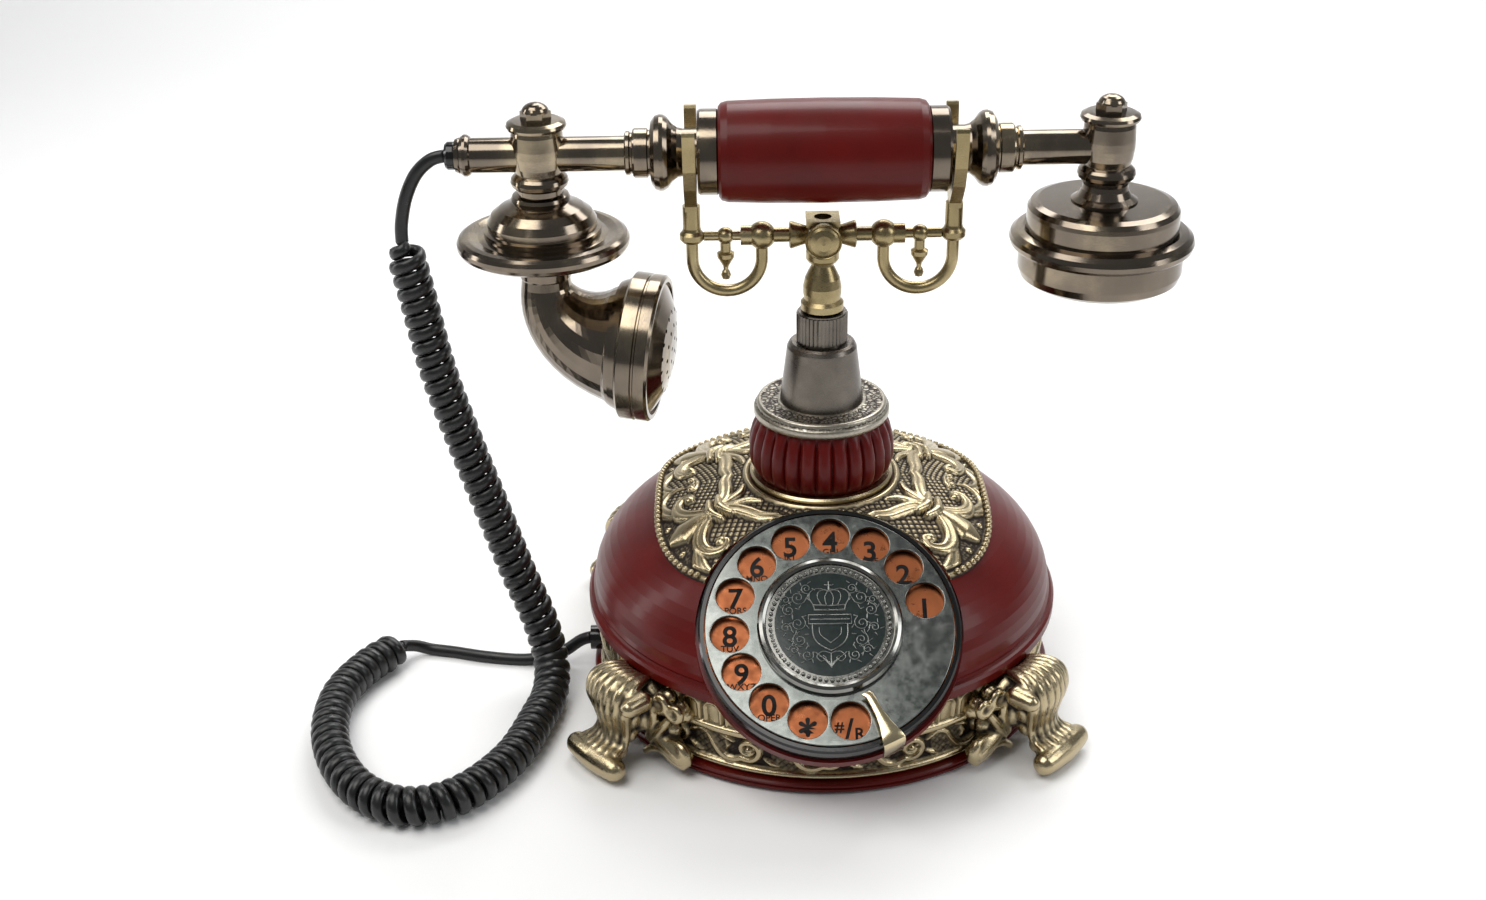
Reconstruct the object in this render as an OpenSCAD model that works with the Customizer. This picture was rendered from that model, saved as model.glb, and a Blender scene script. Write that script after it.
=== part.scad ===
// French-style cradle telephone with a rotary dial, a turned column and a curly handset cord.
// Millimetres, +Z up, front towards -Y, origin on the floor under the middle of the base.

/* [Base] */
// Radius of the dome's flange, the widest turned part of the base
flange_r = 94.7; // [92:0.1:97]
// Height of the skirt between the bottom plate and the flange
skirt_h = 30; // [28:0.5:32]
// Wall of the skirt at its thinnest
skirt_wall = 5.5; // [4:0.1:6.5]
// Rise of the dome above its spring line
dome_rise = 46; // [44:0.5:48]
// Wall of the dome shell
shell_wall = 3.5; // [2.6:0.1:4.2]
// Height of the relief ornament above the dome
ornament_t = 2.4; // [1.6:0.1:3]
// Thickness of the bottom plate
plate_t = 4; // [3:0.1:5]
// Thickness of the felt disc that the telephone rests on
felt_t = 1; // [0.8:0.1:2]
// Radius of the felt disc
felt_r = 60; // [50:1:64]
// Distance from the centre to the axis of a foot's toe roll
foot_reach = 115.8; // [114:0.1:118]
// Angle of each foot from the front or the back
foot_angle = 50; // [47:1:53]
// Radius of a toe roll
toe_r = 6.2; // [5.6:0.1:7.2]
// Length of a toe roll
toe_len = 25; // [20:0.5:28]

/* [Dial] */
// Radius of the finger wheel
dial_r = 46; // [45:0.1:47]
// Distance of the wheel's centre inside the flange's edge
dial_inset = 18.7; // [17:0.1:19.7]
// Height of the wheel's centre above the floor
dial_z = 63.6; // [63:0.1:65]
// Lean of the dial away from level
dial_tilt = 35; // [34:0.5:36]
// Radius of a finger hole
hole_r = 7.2; // [6.6:0.1:7.3]
// Radius of the circle that the finger holes lie on
hole_circle_r = 37; // [36.8:0.1:37.4]
// Angle between neighbouring finger holes
hole_step = 24; // [23.5:0.1:24.5]
// Radius of the medallion in the middle of the wheel
medal_r = 26.9; // [25:0.1:27.4]
// Radius of the dial's shaft
shaft_r = 3; // [2.5:0.1:4]
// Number of teeth on the governor's pinion, a third of the large gear's
pinion_teeth = 16; // [12:1:18]

/* [Column] */
// Radius of the ribbed bulb
bulb_r = 28.7; // [27.5:0.1:29.5]
// Height of the ribbed bulb
bulb_h = 24.5; // [22:0.5:25]
// Radius of the engraved disc
disc_r = 26.5; // [25.5:0.1:28]
// Radius of the cone at its foot
cone_r = 16.25; // [15.5:0.05:17]
// Radius of the knurled nut
nut_r = 9.85; // [9.5:0.05:10.5]
// Radius of the threaded tube that clamps the column
tube_r = 7; // [6.4:0.1:7.4]
// Radius of the plunger rod that slides in the column
rod_r = 4; // [3.4:0.1:4.4]

/* [Cradle] */
// Distance from the middle to each yoke
yoke_x = 48.9; // [48.4:0.1:49.4]
// Width of the flat strip that a yoke is bent from
yoke_w = 4.6; // [3.6:0.1:4.8]
// Radius of the bar that a U hook is bent from
hook_bar_r = 2.3; // [1.8:0.1:2.6]
// Distance from the middle to each large ball
ball_x = 22.8; // [22:0.1:24]
// Radius of each large ball
ball_r = 5.3; // [4.6:0.1:5.6]

/* [Handset] */
// Height of the handset's long axis above the floor
handset_z = 221; // [219:0.5:224]
// Distance between the handset's two upright pillars
pillar_span = 209; // [206:0.5:213]
// Radius of the lacquered grip at its middle
grip_r = 19.1; // [17.5:0.1:19.6]
// Half the length of the lacquered grip
grip_half = 38.4; // [37:0.1:38.4]
// Radius of the thin neck that rests in a yoke
neck_r = 8.7; // [8:0.1:9]
// Radius of the tubular arms
arm_r = 6.4; // [5.6:0.1:6.8]
// Radius of the mouthpiece's dish
dish_r = 32.3; // [30:0.1:33.5]
// Radius of the mouthpiece's rim
mouth_r = 28.3; // [27:0.1:29]
// Radius of the earpiece drum
drum_r = 28.3; // [27:0.1:29]
// Radius of the large ring round the earpiece
ear_ring_r = 34.4; // [33.5:0.1:36]

/* [Cord] */
// Outer radius of the curly part of the cord
coil_r = 7.5; // [6.5:0.1:7.6]
// Radius of the straight part of the cord
lead_r = 1.9; // [1.5:0.1:2.2]

/* [Fits] */
// Radial clearance of a shaft or rod in its bearing
running_gap = 0.05; // [0.03:0.01:0.08]
// Space left between moving parts that never touch
part_gap = 0.3; // [0.3:0.05:0.4]
// Drop of the cradle when the handset is laid on it
cradle_drop = 4; // [3:0.5:5]

/* [Hidden] */
$fn = 64;

// Heights of the base, from the floor up
plate_z = felt_t;
skirt_z = plate_z + plate_t;
flange_z = skirt_z + skirt_h;
spring_z = flange_z + 9;
seat_z = spring_z + dome_rise - 2.5;
dome_r = flange_r - 2.7;
dial_out = flange_r - dial_inset;
plate_r = flange_r - 0.8;
skirt_in_r = flange_r - 5.2 - skirt_wall;

// Heights of the column, from the dome up
ring_h = 3;
bulb_z = seat_z + ring_h;
disc_z = bulb_z + bulb_h;
disc_h = 6;
cone_z = disc_z + disc_h;
cone_h = 24.5;
cone_top_r = cone_r - 3;
nut_z = cone_z + cone_h;
nut_h = 12.5;
nut_top_z = nut_z + nut_h;
tube_foot_z = seat_z - shell_wall - 4;

// Heights of the cradle, from the handset down
bar_z = handset_z - 32.5;
collar_z = nut_top_z + part_gap;
vase_z = collar_z + 4;
neck_ring_z = bar_z - 11;
block_z = bar_z - 4.5;
block_half = 5.8;
front_boss_r = 6.85;
saddle_r = neck_r + part_gap;

// Hook switch under the plunger rod
switch_z = 60;
button_r = 2.5;
button_len = 8;
button_rise = 0.375 * cradle_drop;
rod_foot_z = switch_z + 2 + part_gap;

// Dial, measured along its own axis from the face of the wheel
wheel_t = 1.8;
bezel_in_r = dial_r + 0.5;
bezel_r = dial_r + 2.6;
boss_r = dial_r + 3.6;
pocket_r = dial_r - 0.7;
boss_face = -8;
gear_module = 0.6;
gear_t = 2;
gear_z = -13.5;
gear_teeth = 3 * pinion_teeth;
gear_pitch_r = gear_module * gear_teeth / 2;
pinion_pitch_r = gear_module * pinion_teeth / 2;
governor_r = gear_pitch_r + pinion_pitch_r + 0.1;
governor_at = 225;
governor_shaft_r = 1.5;
bridge_z = -22.5;
stop_angle = 155;
first_hole = 74.3;

// Handset
pillar_x = pillar_span / 2;
bore_r = 4;
ferrule_w = 7.6;
neck_x = grip_half + ferrule_w;
neck_len = 26.6;
arm_x = neck_x + neck_len;
pillar_bore_r = 6;
relief_x = pillar_x + 30.2;
handset_end_x = relief_x + 3.7;
horn_turn = 85;
horn_yaw = -9;
horn_bend_r = 16;
horn_bend_growth = 18;
horn_top = -47.9;
horn_drop = 3;
horn_start_r = 9.2;
horn_end_r = 24;
horn_lip = 1;

// Cord entry on the left of the base
gland_x = -flange_r - 0.8;
gland_z = 12;

// Routes of the cord, and the ways that its curly part starts and ends
coil_start = [0, 0, -1];
coil_end = [0.75, 0.6, -0.1];
upper_route = [
    [-handset_end_x, 0, handset_z], [-144, 0, handset_z - 1.5], [-150, 0, handset_z - 7],
    [-154.5, 0, handset_z - 16], [-157, 0, handset_z - 26], [-157.5, 0, handset_z - 33]
];
coil_route = [
    [-157.5, 0, handset_z - 33], [-153.5, -1, 166], [-148, -3, 136], [-140, -5, 107],
    [-131.5, -7, 79], [-123, -10, 52], [-115, -13, 30], [-110.5, -19, 13],
    [-110, -33, 7.7], [-113, -50, 7.7], [-121.5, -78, 7.7], [-138, -100, 7.7],
    [-158, -106, 7.7], [-178, -93, 7.7], [-192, -66, 7.7], [-195, -36, 7.7],
    [-187, -13, 7.7], [-175, 2, 7.7]
];
lower_route = [
    [-175, 2, 7.7], [-170, 6, 5], [-164, 7, 2.6], [-154, 5, 2.3],
    [-140, 1, 2.3], [-123, -1.5, 2.3], [-109, -1, 5], [-100, 0, 10.5], [gland_x, 0, gland_z]
];

// ---------- Colours ----------
module lacquer() { color([0.33, 0.05, 0.03]) children(); }
module aged_gold() { color([0.62, 0.53, 0.38]) children(); }
module dark_nickel() { color([0.42, 0.37, 0.32]) children(); }
module cradle_brass() { color([0.66, 0.58, 0.38]) children(); }
module black_part() { color([0.06, 0.06, 0.06]) children(); }
module steel_part() { color([0.6, 0.6, 0.6]) children(); }

// ---------- Helpers ----------
module turned(points) { rotate_extrude($fn = 96) polygon(points); }

function unit(v) = v / norm(v);

// Points of an ellipse's quarter between two angles, as radius and height
function ellipse_arc(a, b, z, from, to, steps) = [
    for (i = [0 : steps]) let (t = from + (to - from) * i / steps) [a * cos(t), z + b * sin(t)]
];

// Outline of a gear with straight-sided teeth, one of them centred on +X
function gear_outline(teeth, root, tip, turn) = [
    for (i = [0 : teeth - 1], k = [0 : 3])
        let (step = 360 / teeth)
        let (a = turn + step * (i + [-0.25, -0.1, 0.1, 0.25][k]))
        let (r = (k == 1 || k == 2) ? tip : root)
        [r * cos(a), r * sin(a)]
];

// A point on a smooth curve through the route, part u of the way from point i to the next
function route_point(p, i, u) =
    let (a = p[max(i - 1, 0)], b = p[i], c = p[i + 1], d = p[min(i + 2, len(p) - 1)])
    0.5 * (2 * b + (c - a) * u + (2 * a - 5 * b + 4 * c - d) * u * u
        + (3 * b - a - 3 * c + d) * u * u * u);

function smooth_route(p, steps) = concat(
    [for (i = [0 : len(p) - 2], k = [0 : steps - 1]) route_point(p, i, k / steps)],
    [p[len(p) - 1]]
);

// Directions along a route whose first and last directions are given
function directions(p, from, to) = concat(
    [unit(from)], [for (i = [1 : len(p) - 2]) unit(p[i + 1] - p[i - 1])], [unit(to)]
);

// Side vector of each ring, carried along the route so that the tube doesn't twist
function carried_sides(t, side, i = 0, out = []) = i == len(t) ? out :
    let (s = unit(side - (side * t[i]) * t[i]))
    carried_sides(t, s, i + 1, concat(out, [s]));

// A solid tube along a route, with one radius for each point and square ends that face two given ways
module swept_tube(p, radii, sides, first_side, from, to) {
    t = directions(p, from, to);
    s = carried_sides(t, first_side);
    rings = len(p);
    points = [
        for (i = [0 : rings - 1], k = [0 : sides - 1])
            let (a = 360 * k / sides)
            p[i] + radii[i] * (cos(a) * s[i] + sin(a) * cross(t[i], s[i]))
    ];
    walls = [
        for (i = [0 : rings - 2], k = [0 : sides - 1])
            let (a = i * sides + k, b = i * sides + (k + 1) % sides)
            [a, a + sides, b + sides, b]
    ];
    ends = [[for (k = [0 : sides - 1]) k], [for (k = [sides - 1 : -1 : 0]) (rings - 1) * sides + k]];
    polyhedron(points, concat(walls, ends), convexity = 6);
}

// Places a child on the dial, with the dial's outward axis as its +Z
module at_dial() { translate([0, -dial_out, dial_z]) rotate([dial_tilt, 0, 0]) children(); }

// Turns a part about a line along +X at the handset's height
module along_handset() { translate([0, 0, handset_z]) rotate([0, 90, 0]) children(); }

module both_ends() {
    children();
    mirror([1, 0, 0]) children();
}

// ---------- Base ----------
module base_felt() {
    color([0.1, 0.1, 0.1]) cylinder(r = felt_r, h = felt_t, $fn = 96);
}

module screw_places() {
    for (a = [45 : 90 : 315]) rotate([0, 0, a]) translate([felt_r + 14, 0, plate_z]) children();
}

module base_plate() {
    lacquer() difference() {
        turned([
            [0, plate_z], [plate_r - 0.8, plate_z], [plate_r, plate_z + 0.8], [plate_r, plate_z + 1.7],
            [plate_r - 0.6, plate_z + 2], [plate_r - 0.6, plate_z + 2.4], [plate_r, plate_z + 2.7],
            [plate_r, plate_z + plate_t - 0.6], [plate_r - 0.6, skirt_z], [0, skirt_z]
        ]);
        screw_places() screw_shape();
    }
}

// Countersunk screw with a cross slot that passes through the plate into a skirt post
module screw_shape() {
    cylinder(r1 = 3.4, r2 = 1.7, h = 1.8, $fn = 32);
    cylinder(r = 1.7, h = plate_t + 8, $fn = 32);
}

module base_screws() {
    steel_part() difference() {
        screw_places() screw_shape();
        screw_places() for (a = [0, 90]) rotate([0, 0, a]) translate([-2, -0.4, -0.1]) cube([4, 0.8, 0.9]);
    }
}

// Outer outline of the skirt: foot bead, scroll band, rib and leaf band
function skirt_outline() = [
    [flange_r - 4.2, skirt_z], [flange_r - 3.4, skirt_z + 1], [flange_r - 3.4, skirt_z + 2.6],
    [flange_r - 5.2, skirt_z + 3.6], [flange_r - 5.2, skirt_z + skirt_h * 0.5],
    [flange_r - 3.5, skirt_z + skirt_h * 0.54], [flange_r - 3.5, skirt_z + skirt_h * 0.6],
    [flange_r - 5.2, skirt_z + skirt_h * 0.65], [flange_r - 4.6, skirt_z + skirt_h * 0.82],
    [flange_r - 3, flange_z - 1], [flange_r - 3, flange_z]
];

// The volume that the turned base fills, used to fit the feet against it
module base_envelope() {
    turned(concat(
        [[0, 0], [plate_r, 0], [plate_r, skirt_z]], skirt_outline(),
        [[flange_r, flange_z], [flange_r, flange_z + 6], [0, flange_z + 6]]
    ));
}

module socket_window() {
    translate([-7.5, skirt_in_r - 12, gland_z - 6]) cube([15, 30, 12]);
}

module ringer_place() { rotate([0, 0, 17]) translate([0, 0, gland_z + 2]) children(); }

module skirt() {
    aged_gold() difference() {
        union() {
            turned(concat([[skirt_in_r, skirt_z]], skirt_outline(), [[skirt_in_r, flange_z]]));
            for (a = [45 : 90 : 315]) rotate([0, 0, a]) translate([felt_r + 14, 0, skirt_z]) skirt_post();
        }
        boss_solid();
        socket_window();
        ringer_place() translate([-5.3, skirt_in_r - 2, -1.8]) cube([10.6, 14, 3.6]);
        translate([-flange_r, 0, gland_z]) rotate([0, 90, 0]) cylinder(r = 5, h = 20);
        screw_places() screw_shape();
    }
}

// Post that takes a base screw, joined to the skirt's wall by a rib
module skirt_post() {
    cylinder(r = 4.5, h = 12);
    translate([0, -1.5, 1]) cube([skirt_in_r - felt_r - 13, 3, 10]);
}

// One foot, standing out along +X: leaf body, toe roll and two side wings
module foot_shape() {
    top = flange_z + 1;
    side = [
        [flange_r - 8, top - 2], [flange_r + 4, top], [flange_r + 12, top + 0.5], [flange_r + 16, top - 2.5],
        [flange_r + 17, top - 7], [flange_r + 16.4, top - 12], [flange_r + 16, top - 18],
        [flange_r + 16.6, top - 24], [foot_reach, toe_r * 1.6], [foot_reach, toe_r * 0.6],
        [foot_reach - 6, 3], [foot_reach - 12, 6], [flange_r - 4, 8.5], [flange_r - 8, 8.5]
    ];
    front = [
        [0, top + 1], [15, top + 1], [17.5, top - 3], [17, top - 9], [13.5, top - 17], [10.5, 14], [10, 2], [0, 0]
    ];
    wing = [
        [0, top - 1], [20, top - 1], [26, top - 1.6], [28.5, top - 6], [27, top - 11], [21.5, top - 13.5],
        [19.5, top - 18], [23, 13.5], [28, 11.5], [29, 7], [27, 3.2], [22, 2.6], [16, 6.5], [9, 8], [0, 8]
    ];
    intersection() {
        rotate([90, 0, 0]) linear_extrude(height = 60, center = true) polygon(side);
        rotate([90, 0, 90]) linear_extrude(height = 140)
            polygon(concat(front, [for (i = [len(front) - 1 : -1 : 0]) [-front[i][0], front[i][1]]]));
    }
    translate([flange_r - 20, 0, 0]) rotate([90, 0, 90]) linear_extrude(height = 23.5)
        polygon(concat(wing, [for (i = [len(wing) - 1 : -1 : 0]) [-wing[i][0], wing[i][1]]]));
    translate([foot_reach, 0, toe_r]) rotate([90, 0, 0]) cylinder(r = toe_r, h = toe_len, center = true);
    for (s = [-1, 1]) translate([flange_r - 10, s * 23.5, top - 6.5]) rotate([0, 90, 0]) cylinder(r = 5, h = 15.5);
}

module feet() {
    aged_gold() difference() {
        for (a = [-1, 1], b = [0, 180]) rotate([0, 0, b + 90 + a * foot_angle]) foot_shape();
        base_envelope();
    }
}

// ---------- Dome ----------
function dome_outline(a, b, top) = ellipse_arc(a, b, spring_z, 0, asin((top - spring_z) / b), 16);

module boss_solid() {
    at_dial() turned([
        [0, boss_face], [boss_r, boss_face], [boss_r, -12.5], [boss_r - 2, -16.5], [boss_r - 6, -20.5],
        [boss_r - 12, -24], [boss_r - 20, -26.5], [0, -27]
    ]);
}

module boss_pocket() {
    at_dial() {
        turned([
            [0, boss_face + 1], [pocket_r, boss_face + 1], [pocket_r, -12.5], [pocket_r - 2, -15.8],
            [pocket_r - 6, -19], [pocket_r - 11, -23.4], [0, -23.4]
        ]);
        translate([0, 0, -30]) cylinder(r = 24, h = 10);
    }
}

module dome_shell() {
    lacquer() difference() {
        union() {
            difference() {
                turned(concat(
                    [[0, flange_z], [flange_r - 0.8, flange_z], [flange_r, flange_z + 0.8],
                    [flange_r, flange_z + 4], [flange_r - 0.9, flange_z + 5], [flange_r - 2, flange_z + 5.4],
                    [flange_r - 2.4, flange_z + 6.4], [flange_r - 2, flange_z + 7.6]],
                    dome_outline(dome_r, dome_rise, seat_z), [[0, seat_z]]
                ));
                turned(concat(
                    [[0, flange_z - 1], [dome_r - shell_wall - 2, flange_z - 1]],
                    dome_outline(dome_r - shell_wall, dome_rise - shell_wall, seat_z - shell_wall),
                    [[0, seat_z - shell_wall]]
                ));
            }
            boss_solid();
        }
        boss_pocket();
        at_dial() translate([0, 0, boss_face]) cylinder(r = boss_r + 0.3, h = 40, $fn = 96);
        translate([0, 0, seat_z - 20]) cylinder(r = tube_r, h = 40);
    }
}

// Relief cap on the dome with four rounded lobes, open in the front for the dial
module dome_ornament() {
    dome = dome_outline(dome_r, dome_rise, seat_z);
    lobes = [for (a = [0 : 5 : 355]) let (r = flange_r - 24.7 + 4 * cos(4 * (a - 45))) [r * cos(a), r * sin(a)]];
    aged_gold() difference() {
        intersection() {
            turned(concat(
                dome_outline(dome_r + ornament_t, dome_rise + ornament_t, seat_z + 1),
                [for (i = [len(dome) - 1 : -1 : 0]) dome[i]]
            ));
            translate([0, 0, flange_z]) linear_extrude(height = 80) polygon(lobes);
        }
        at_dial() translate([0, 0, -30]) cylinder(r = boss_r + 0.6, h = 80, $fn = 96);
    }
}

// ---------- Column ----------
module bulb_ring() {
    aged_gold() translate([0, 0, seat_z]) turned([
        [tube_r, 0], [bulb_r - 1, 0], [bulb_r - 0.4, 0.7], [bulb_r - 0.4, 2.3], [bulb_r - 1.2, 3], [tube_r, 3]
    ]);
}

module bulb() {
    lacquer() translate([0, 0, bulb_z]) turned([
        [tube_r, 0], [bulb_r - 4, 0], [bulb_r - 2, 0.06 * bulb_h], [bulb_r - 0.6, 0.18 * bulb_h],
        [bulb_r, 0.36 * bulb_h], [bulb_r - 0.2, 0.56 * bulb_h], [bulb_r - 1.4, 0.78 * bulb_h],
        [bulb_r - 3.2, 0.92 * bulb_h], [bulb_r - 4.5, bulb_h], [tube_r, bulb_h]
    ]);
}

module column_disc() {
    aged_gold() translate([0, 0, disc_z]) turned([
        [tube_r, 0], [disc_r - 0.9, 0], [disc_r, 0.8], [disc_r, 3.2], [disc_r - 0.7, 3.9],
        [disc_r - 1.3, 4.1], [disc_r - 1.3, 5.2], [disc_r - 2.1, disc_h], [tube_r, disc_h]
    ]);
}

module column_cone() {
    dark_nickel() translate([0, 0, cone_z]) turned([
        [cone_r - 2.8, 0], [cone_r, 0], [cone_r - 0.1, 1], [cone_top_r + 0.2, cone_h - 2.2],
        [cone_top_r - 0.6, cone_h - 0.7], [cone_top_r - 1.6, cone_h], [tube_r, cone_h],
        [tube_r, cone_h - 5], [cone_top_r - 2.7, cone_h - 5]
    ]);
}

module knurled_nut() {
    dark_nickel() translate([0, 0, nut_z]) difference() {
        union() {
            cylinder(r = nut_r - 0.7, h = nut_h);
            translate([0, 0, 0.7]) linear_extrude(height = nut_h - 1.4)
                polygon([for (i = [0 : 71]) (nut_r - 0.5 * (i % 2)) * [cos(5 * i), sin(5 * i)]]);
        }
        translate([0, 0, -1]) cylinder(r = tube_r, h = nut_h - 4);
        cylinder(r = rod_r + running_gap, h = nut_h + 1);
    }
}

// Threaded tube with a foot flange under the dome's top, clamping the column pieces
module column_tube() {
    steel_part() difference() {
        union() {
            translate([0, 0, tube_foot_z]) cylinder(r = 13, h = 4);
            translate([0, 0, tube_foot_z]) cylinder(r = tube_r, h = nut_top_z - 5 - tube_foot_z);
        }
        translate([0, 0, tube_foot_z - 1]) cylinder(r = rod_r + 0.4, h = nut_top_z);
    }
}

// ---------- Inside the base ----------
module hook_switch() {
    black_part() difference() {
        union() {
            translate([-6, -6, skirt_z]) cube([12, 12, switch_z - 16 - skirt_z]);
            translate([-10, -8, switch_z - 16]) cube([20, 16, 16]);
        }
        translate([0, 0, switch_z - 6 - button_rise]) cylinder(r = button_r + running_gap, h = button_len + 2);
    }
}

module switch_button() {
    color([0.7, 0.15, 0.1]) translate([0, 0, switch_z - 6]) cylinder(r = button_r, h = button_len);
}

module circuit_board() {
    color([0.1, 0.35, 0.18]) {
        translate([-34, 14, skirt_z + 6]) cube([68, 44, 1.6]);
        for (x = [-28, 28], y = [20, 52]) translate([x, y, skirt_z]) cylinder(r = 3, h = 6);
        translate([-16, 36, skirt_z + 7.6]) cylinder(r = 12, h = 8);
        translate([6, 24, skirt_z + 7.6]) cube([16, 8, 3]);
        for (x = [8, 18, 28]) translate([x, 44, skirt_z + 7.6]) cylinder(r = 3, h = 10);
    }
}

module line_socket() {
    black_part() difference() {
        translate([-7.5, skirt_in_r - 12, gland_z - 6]) cube([15, 17.2, 12]);
        translate([-4.9, skirt_in_r - 6, gland_z - 3.5]) cube([9.8, 20, 7]);
    }
}

// Lever of the ringer switch, with a wide foot that slides behind the skirt
module ringer_switch() {
    black_part() ringer_place() {
        translate([-2, skirt_in_r - 3, -1.5]) cube([4, 10.5, 3]);
        translate([-7, skirt_in_r - 4, -4]) cube([14, 3, 8]);
    }
}

module cord_gland() {
    black_part() translate([0, 0, gland_z]) rotate([0, -90, 0]) {
        translate([0, 0, skirt_in_r - 3]) cylinder(r = 5, h = -gland_x - skirt_in_r + 3);
        translate([0, 0, skirt_in_r - 3]) cylinder(r = 7, h = 2);
    }
}

// ---------- Dial ----------
module hole_places() {
    for (i = [0 : 11]) rotate([0, 0, -(first_hole - hole_step * i)]) translate([0, hole_circle_r, 0]) children();
}

module dial_bezel() {
    black_part() at_dial() turned([
        [9, -6.2], [bezel_in_r, -6.2], [bezel_in_r, boss_face], [bezel_r, boss_face],
        [bezel_r, -1.2], [bezel_r - 0.7, -0.4], [bezel_in_r, -0.4], [bezel_in_r, -4.6], [9, -4.6]
    ]);
}

module number_plate() {
    color([0.65, 0.38, 0.24]) at_dial() turned([
        [9, -4.6], [bezel_in_r, -4.6], [bezel_in_r, -3.6], [9, -3.6]
    ]);
}

// Hooked strip on the bezel that reaches in over the finger holes
module finger_stop() {
    color([0.83, 0.76, 0.6]) at_dial() difference() {
        rotate([0, 0, -stop_angle]) rotate([90, 0, 90]) linear_extrude(height = 5, center = true) polygon([
            [bezel_r - 1, boss_face], [bezel_r + 2.4, boss_face], [bezel_r + 2.4, 1.6], [bezel_r + 1.4, 3.2],
            [46, 4], [34, 4.4], [medal_r + 3.4, 4.2], [medal_r + 2.6, 3.2], [medal_r + 3.6, 2.2], [36, 2.4],
            [46, 2], [bezel_r - 1, 1]
        ]);
        translate([0, 0, boss_face - 1]) cylinder(r = bezel_r, h = 8.6, $fn = 96);
    }
}

// Plate, shaft bushing, posts and bridge that carry the gears
module dial_mechanism() {
    steel_part() at_dial() difference() {
        union() {
            translate([0, 0, boss_face]) cylinder(r = bezel_in_r, h = 1.8, $fn = 96);
            translate([0, 0, -10.5]) cylinder(r = 6, h = 7.9);
            for (a = [15, 135, 300]) rotate([0, 0, a]) translate([30, 0, bridge_z]) cylinder(r = 2.5, h = 16);
            translate([0, 0, bridge_z]) cylinder(r = 33.5, h = 1.5);
        }
        translate([0, 0, -30]) cylinder(r = shaft_r + running_gap, h = 40);
        rotate([0, 0, governor_at]) translate([governor_r, 0, -30])
            cylinder(r = governor_shaft_r + running_gap, h = 40);
    }
}

module finger_wheel() {
    color([0.35, 0.36, 0.35]) at_dial() difference() {
        turned([
            [shaft_r, -wheel_t], [dial_r - 0.5, -wheel_t], [dial_r, -wheel_t + 0.5],
            [dial_r, -0.5], [dial_r - 0.5, 0], [shaft_r, 0]
        ]);
        hole_places() translate([0, 0, -5]) cylinder(r = hole_r, h = 10);
    }
}

// Stepped chromed ring with a row of beads round the label
module medallion_ring() {
    color([0.7, 0.7, 0.7]) at_dial() {
        turned([
            [8.2, 0], [medal_r - 0.6, 0], [medal_r, 0.6], [medal_r, 2], [medal_r - 0.8, 3.2],
            [medal_r - 2, 3.7], [medal_r - 3, 3.2], [medal_r - 3.3, 2.2], [20.4, 2.2], [20.4, 1.4], [8.2, 1.4]
        ]);
        for (i = [0 : 59]) rotate([0, 0, 6 * i]) translate([21.9, 0, 2]) cylinder(r = 0.7, h = 0.7, $fn = 16);
    }
}

module medallion_label() {
    color([0.13, 0.15, 0.14]) at_dial() translate([0, 0, 1.4]) cylinder(r = 20.4, h = 0.8);
}

module dial_shaft() {
    color([0.75, 0.65, 0.4]) at_dial() {
        translate([0, 0, bridge_z + 0.1]) cylinder(r = shaft_r, h = -bridge_z - 0.1);
        cylinder(r = 8.2, h = 1.4);
        translate([0, 0, gear_z]) linear_extrude(height = gear_t)
            polygon(gear_outline(gear_teeth, gear_pitch_r - 0.7, gear_pitch_r + 0.55, governor_at));
    }
}

// Pinion and friction drum on one small shaft
module governor() {
    color([0.75, 0.65, 0.4]) at_dial() rotate([0, 0, governor_at]) translate([governor_r, 0, 0]) {
        translate([0, 0, bridge_z + 0.1]) cylinder(r = governor_shaft_r, h = -bridge_z - 6.4);
        translate([0, 0, -19.5]) cylinder(r = 7, h = 4.5);
        translate([0, 0, gear_z]) linear_extrude(height = gear_t) polygon(gear_outline(
            pinion_teeth, pinion_pitch_r - 0.7, pinion_pitch_r + 0.55, 180 + 180 / pinion_teeth
        ));
    }
}

// ---------- Cradle ----------
module plunger_rod() {
    steel_part() translate([0, 0, rod_foot_z]) cylinder(r = rod_r, h = vase_z + 6 - rod_foot_z);
}

// Vase-shaped column top with the collar that meets the knurled nut
module baluster() {
    h = neck_ring_z - vase_z;
    cradle_brass() difference() {
        turned([
            [0, collar_z], [7.5, collar_z], [8.2, collar_z + 0.7], [8.2, collar_z + 3.3], [7.5, vase_z],
            [6.9, vase_z + 0.04 * h], [7.3, vase_z + 0.2 * h], [7.3, vase_z + 0.38 * h],
            [6.6, vase_z + 0.6 * h], [5.2, vase_z + 0.8 * h], [4.2, vase_z + 0.93 * h], [4, neck_ring_z],
            [5.4, neck_ring_z + 0.4], [6.25, neck_ring_z + 1.6], [6.25, neck_ring_z + 4.6],
            [5.2, block_z], [0, block_z]
        ]);
        translate([0, 0, collar_z - 1]) cylinder(r = rod_r, h = vase_z + 6 - collar_z + 1);
    }
}

module head_block() {
    cradle_brass() difference() {
        union() {
            translate([-block_half, -block_half, block_z]) cube([2 * block_half, 2 * block_half, 10]);
            translate([-block_half - 0.5, -block_half - 0.5, block_z + 9.4])
                cube([2 * block_half + 1, 2 * block_half + 1, 2.1]);
        }
        translate([0, 0, block_z + 7]) cylinder(r = 3.3, h = 10);
        translate([0, -block_half, bar_z]) rotate([90, 0, 0]) cylinder(r = front_boss_r, h = 2);
    }
}

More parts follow.
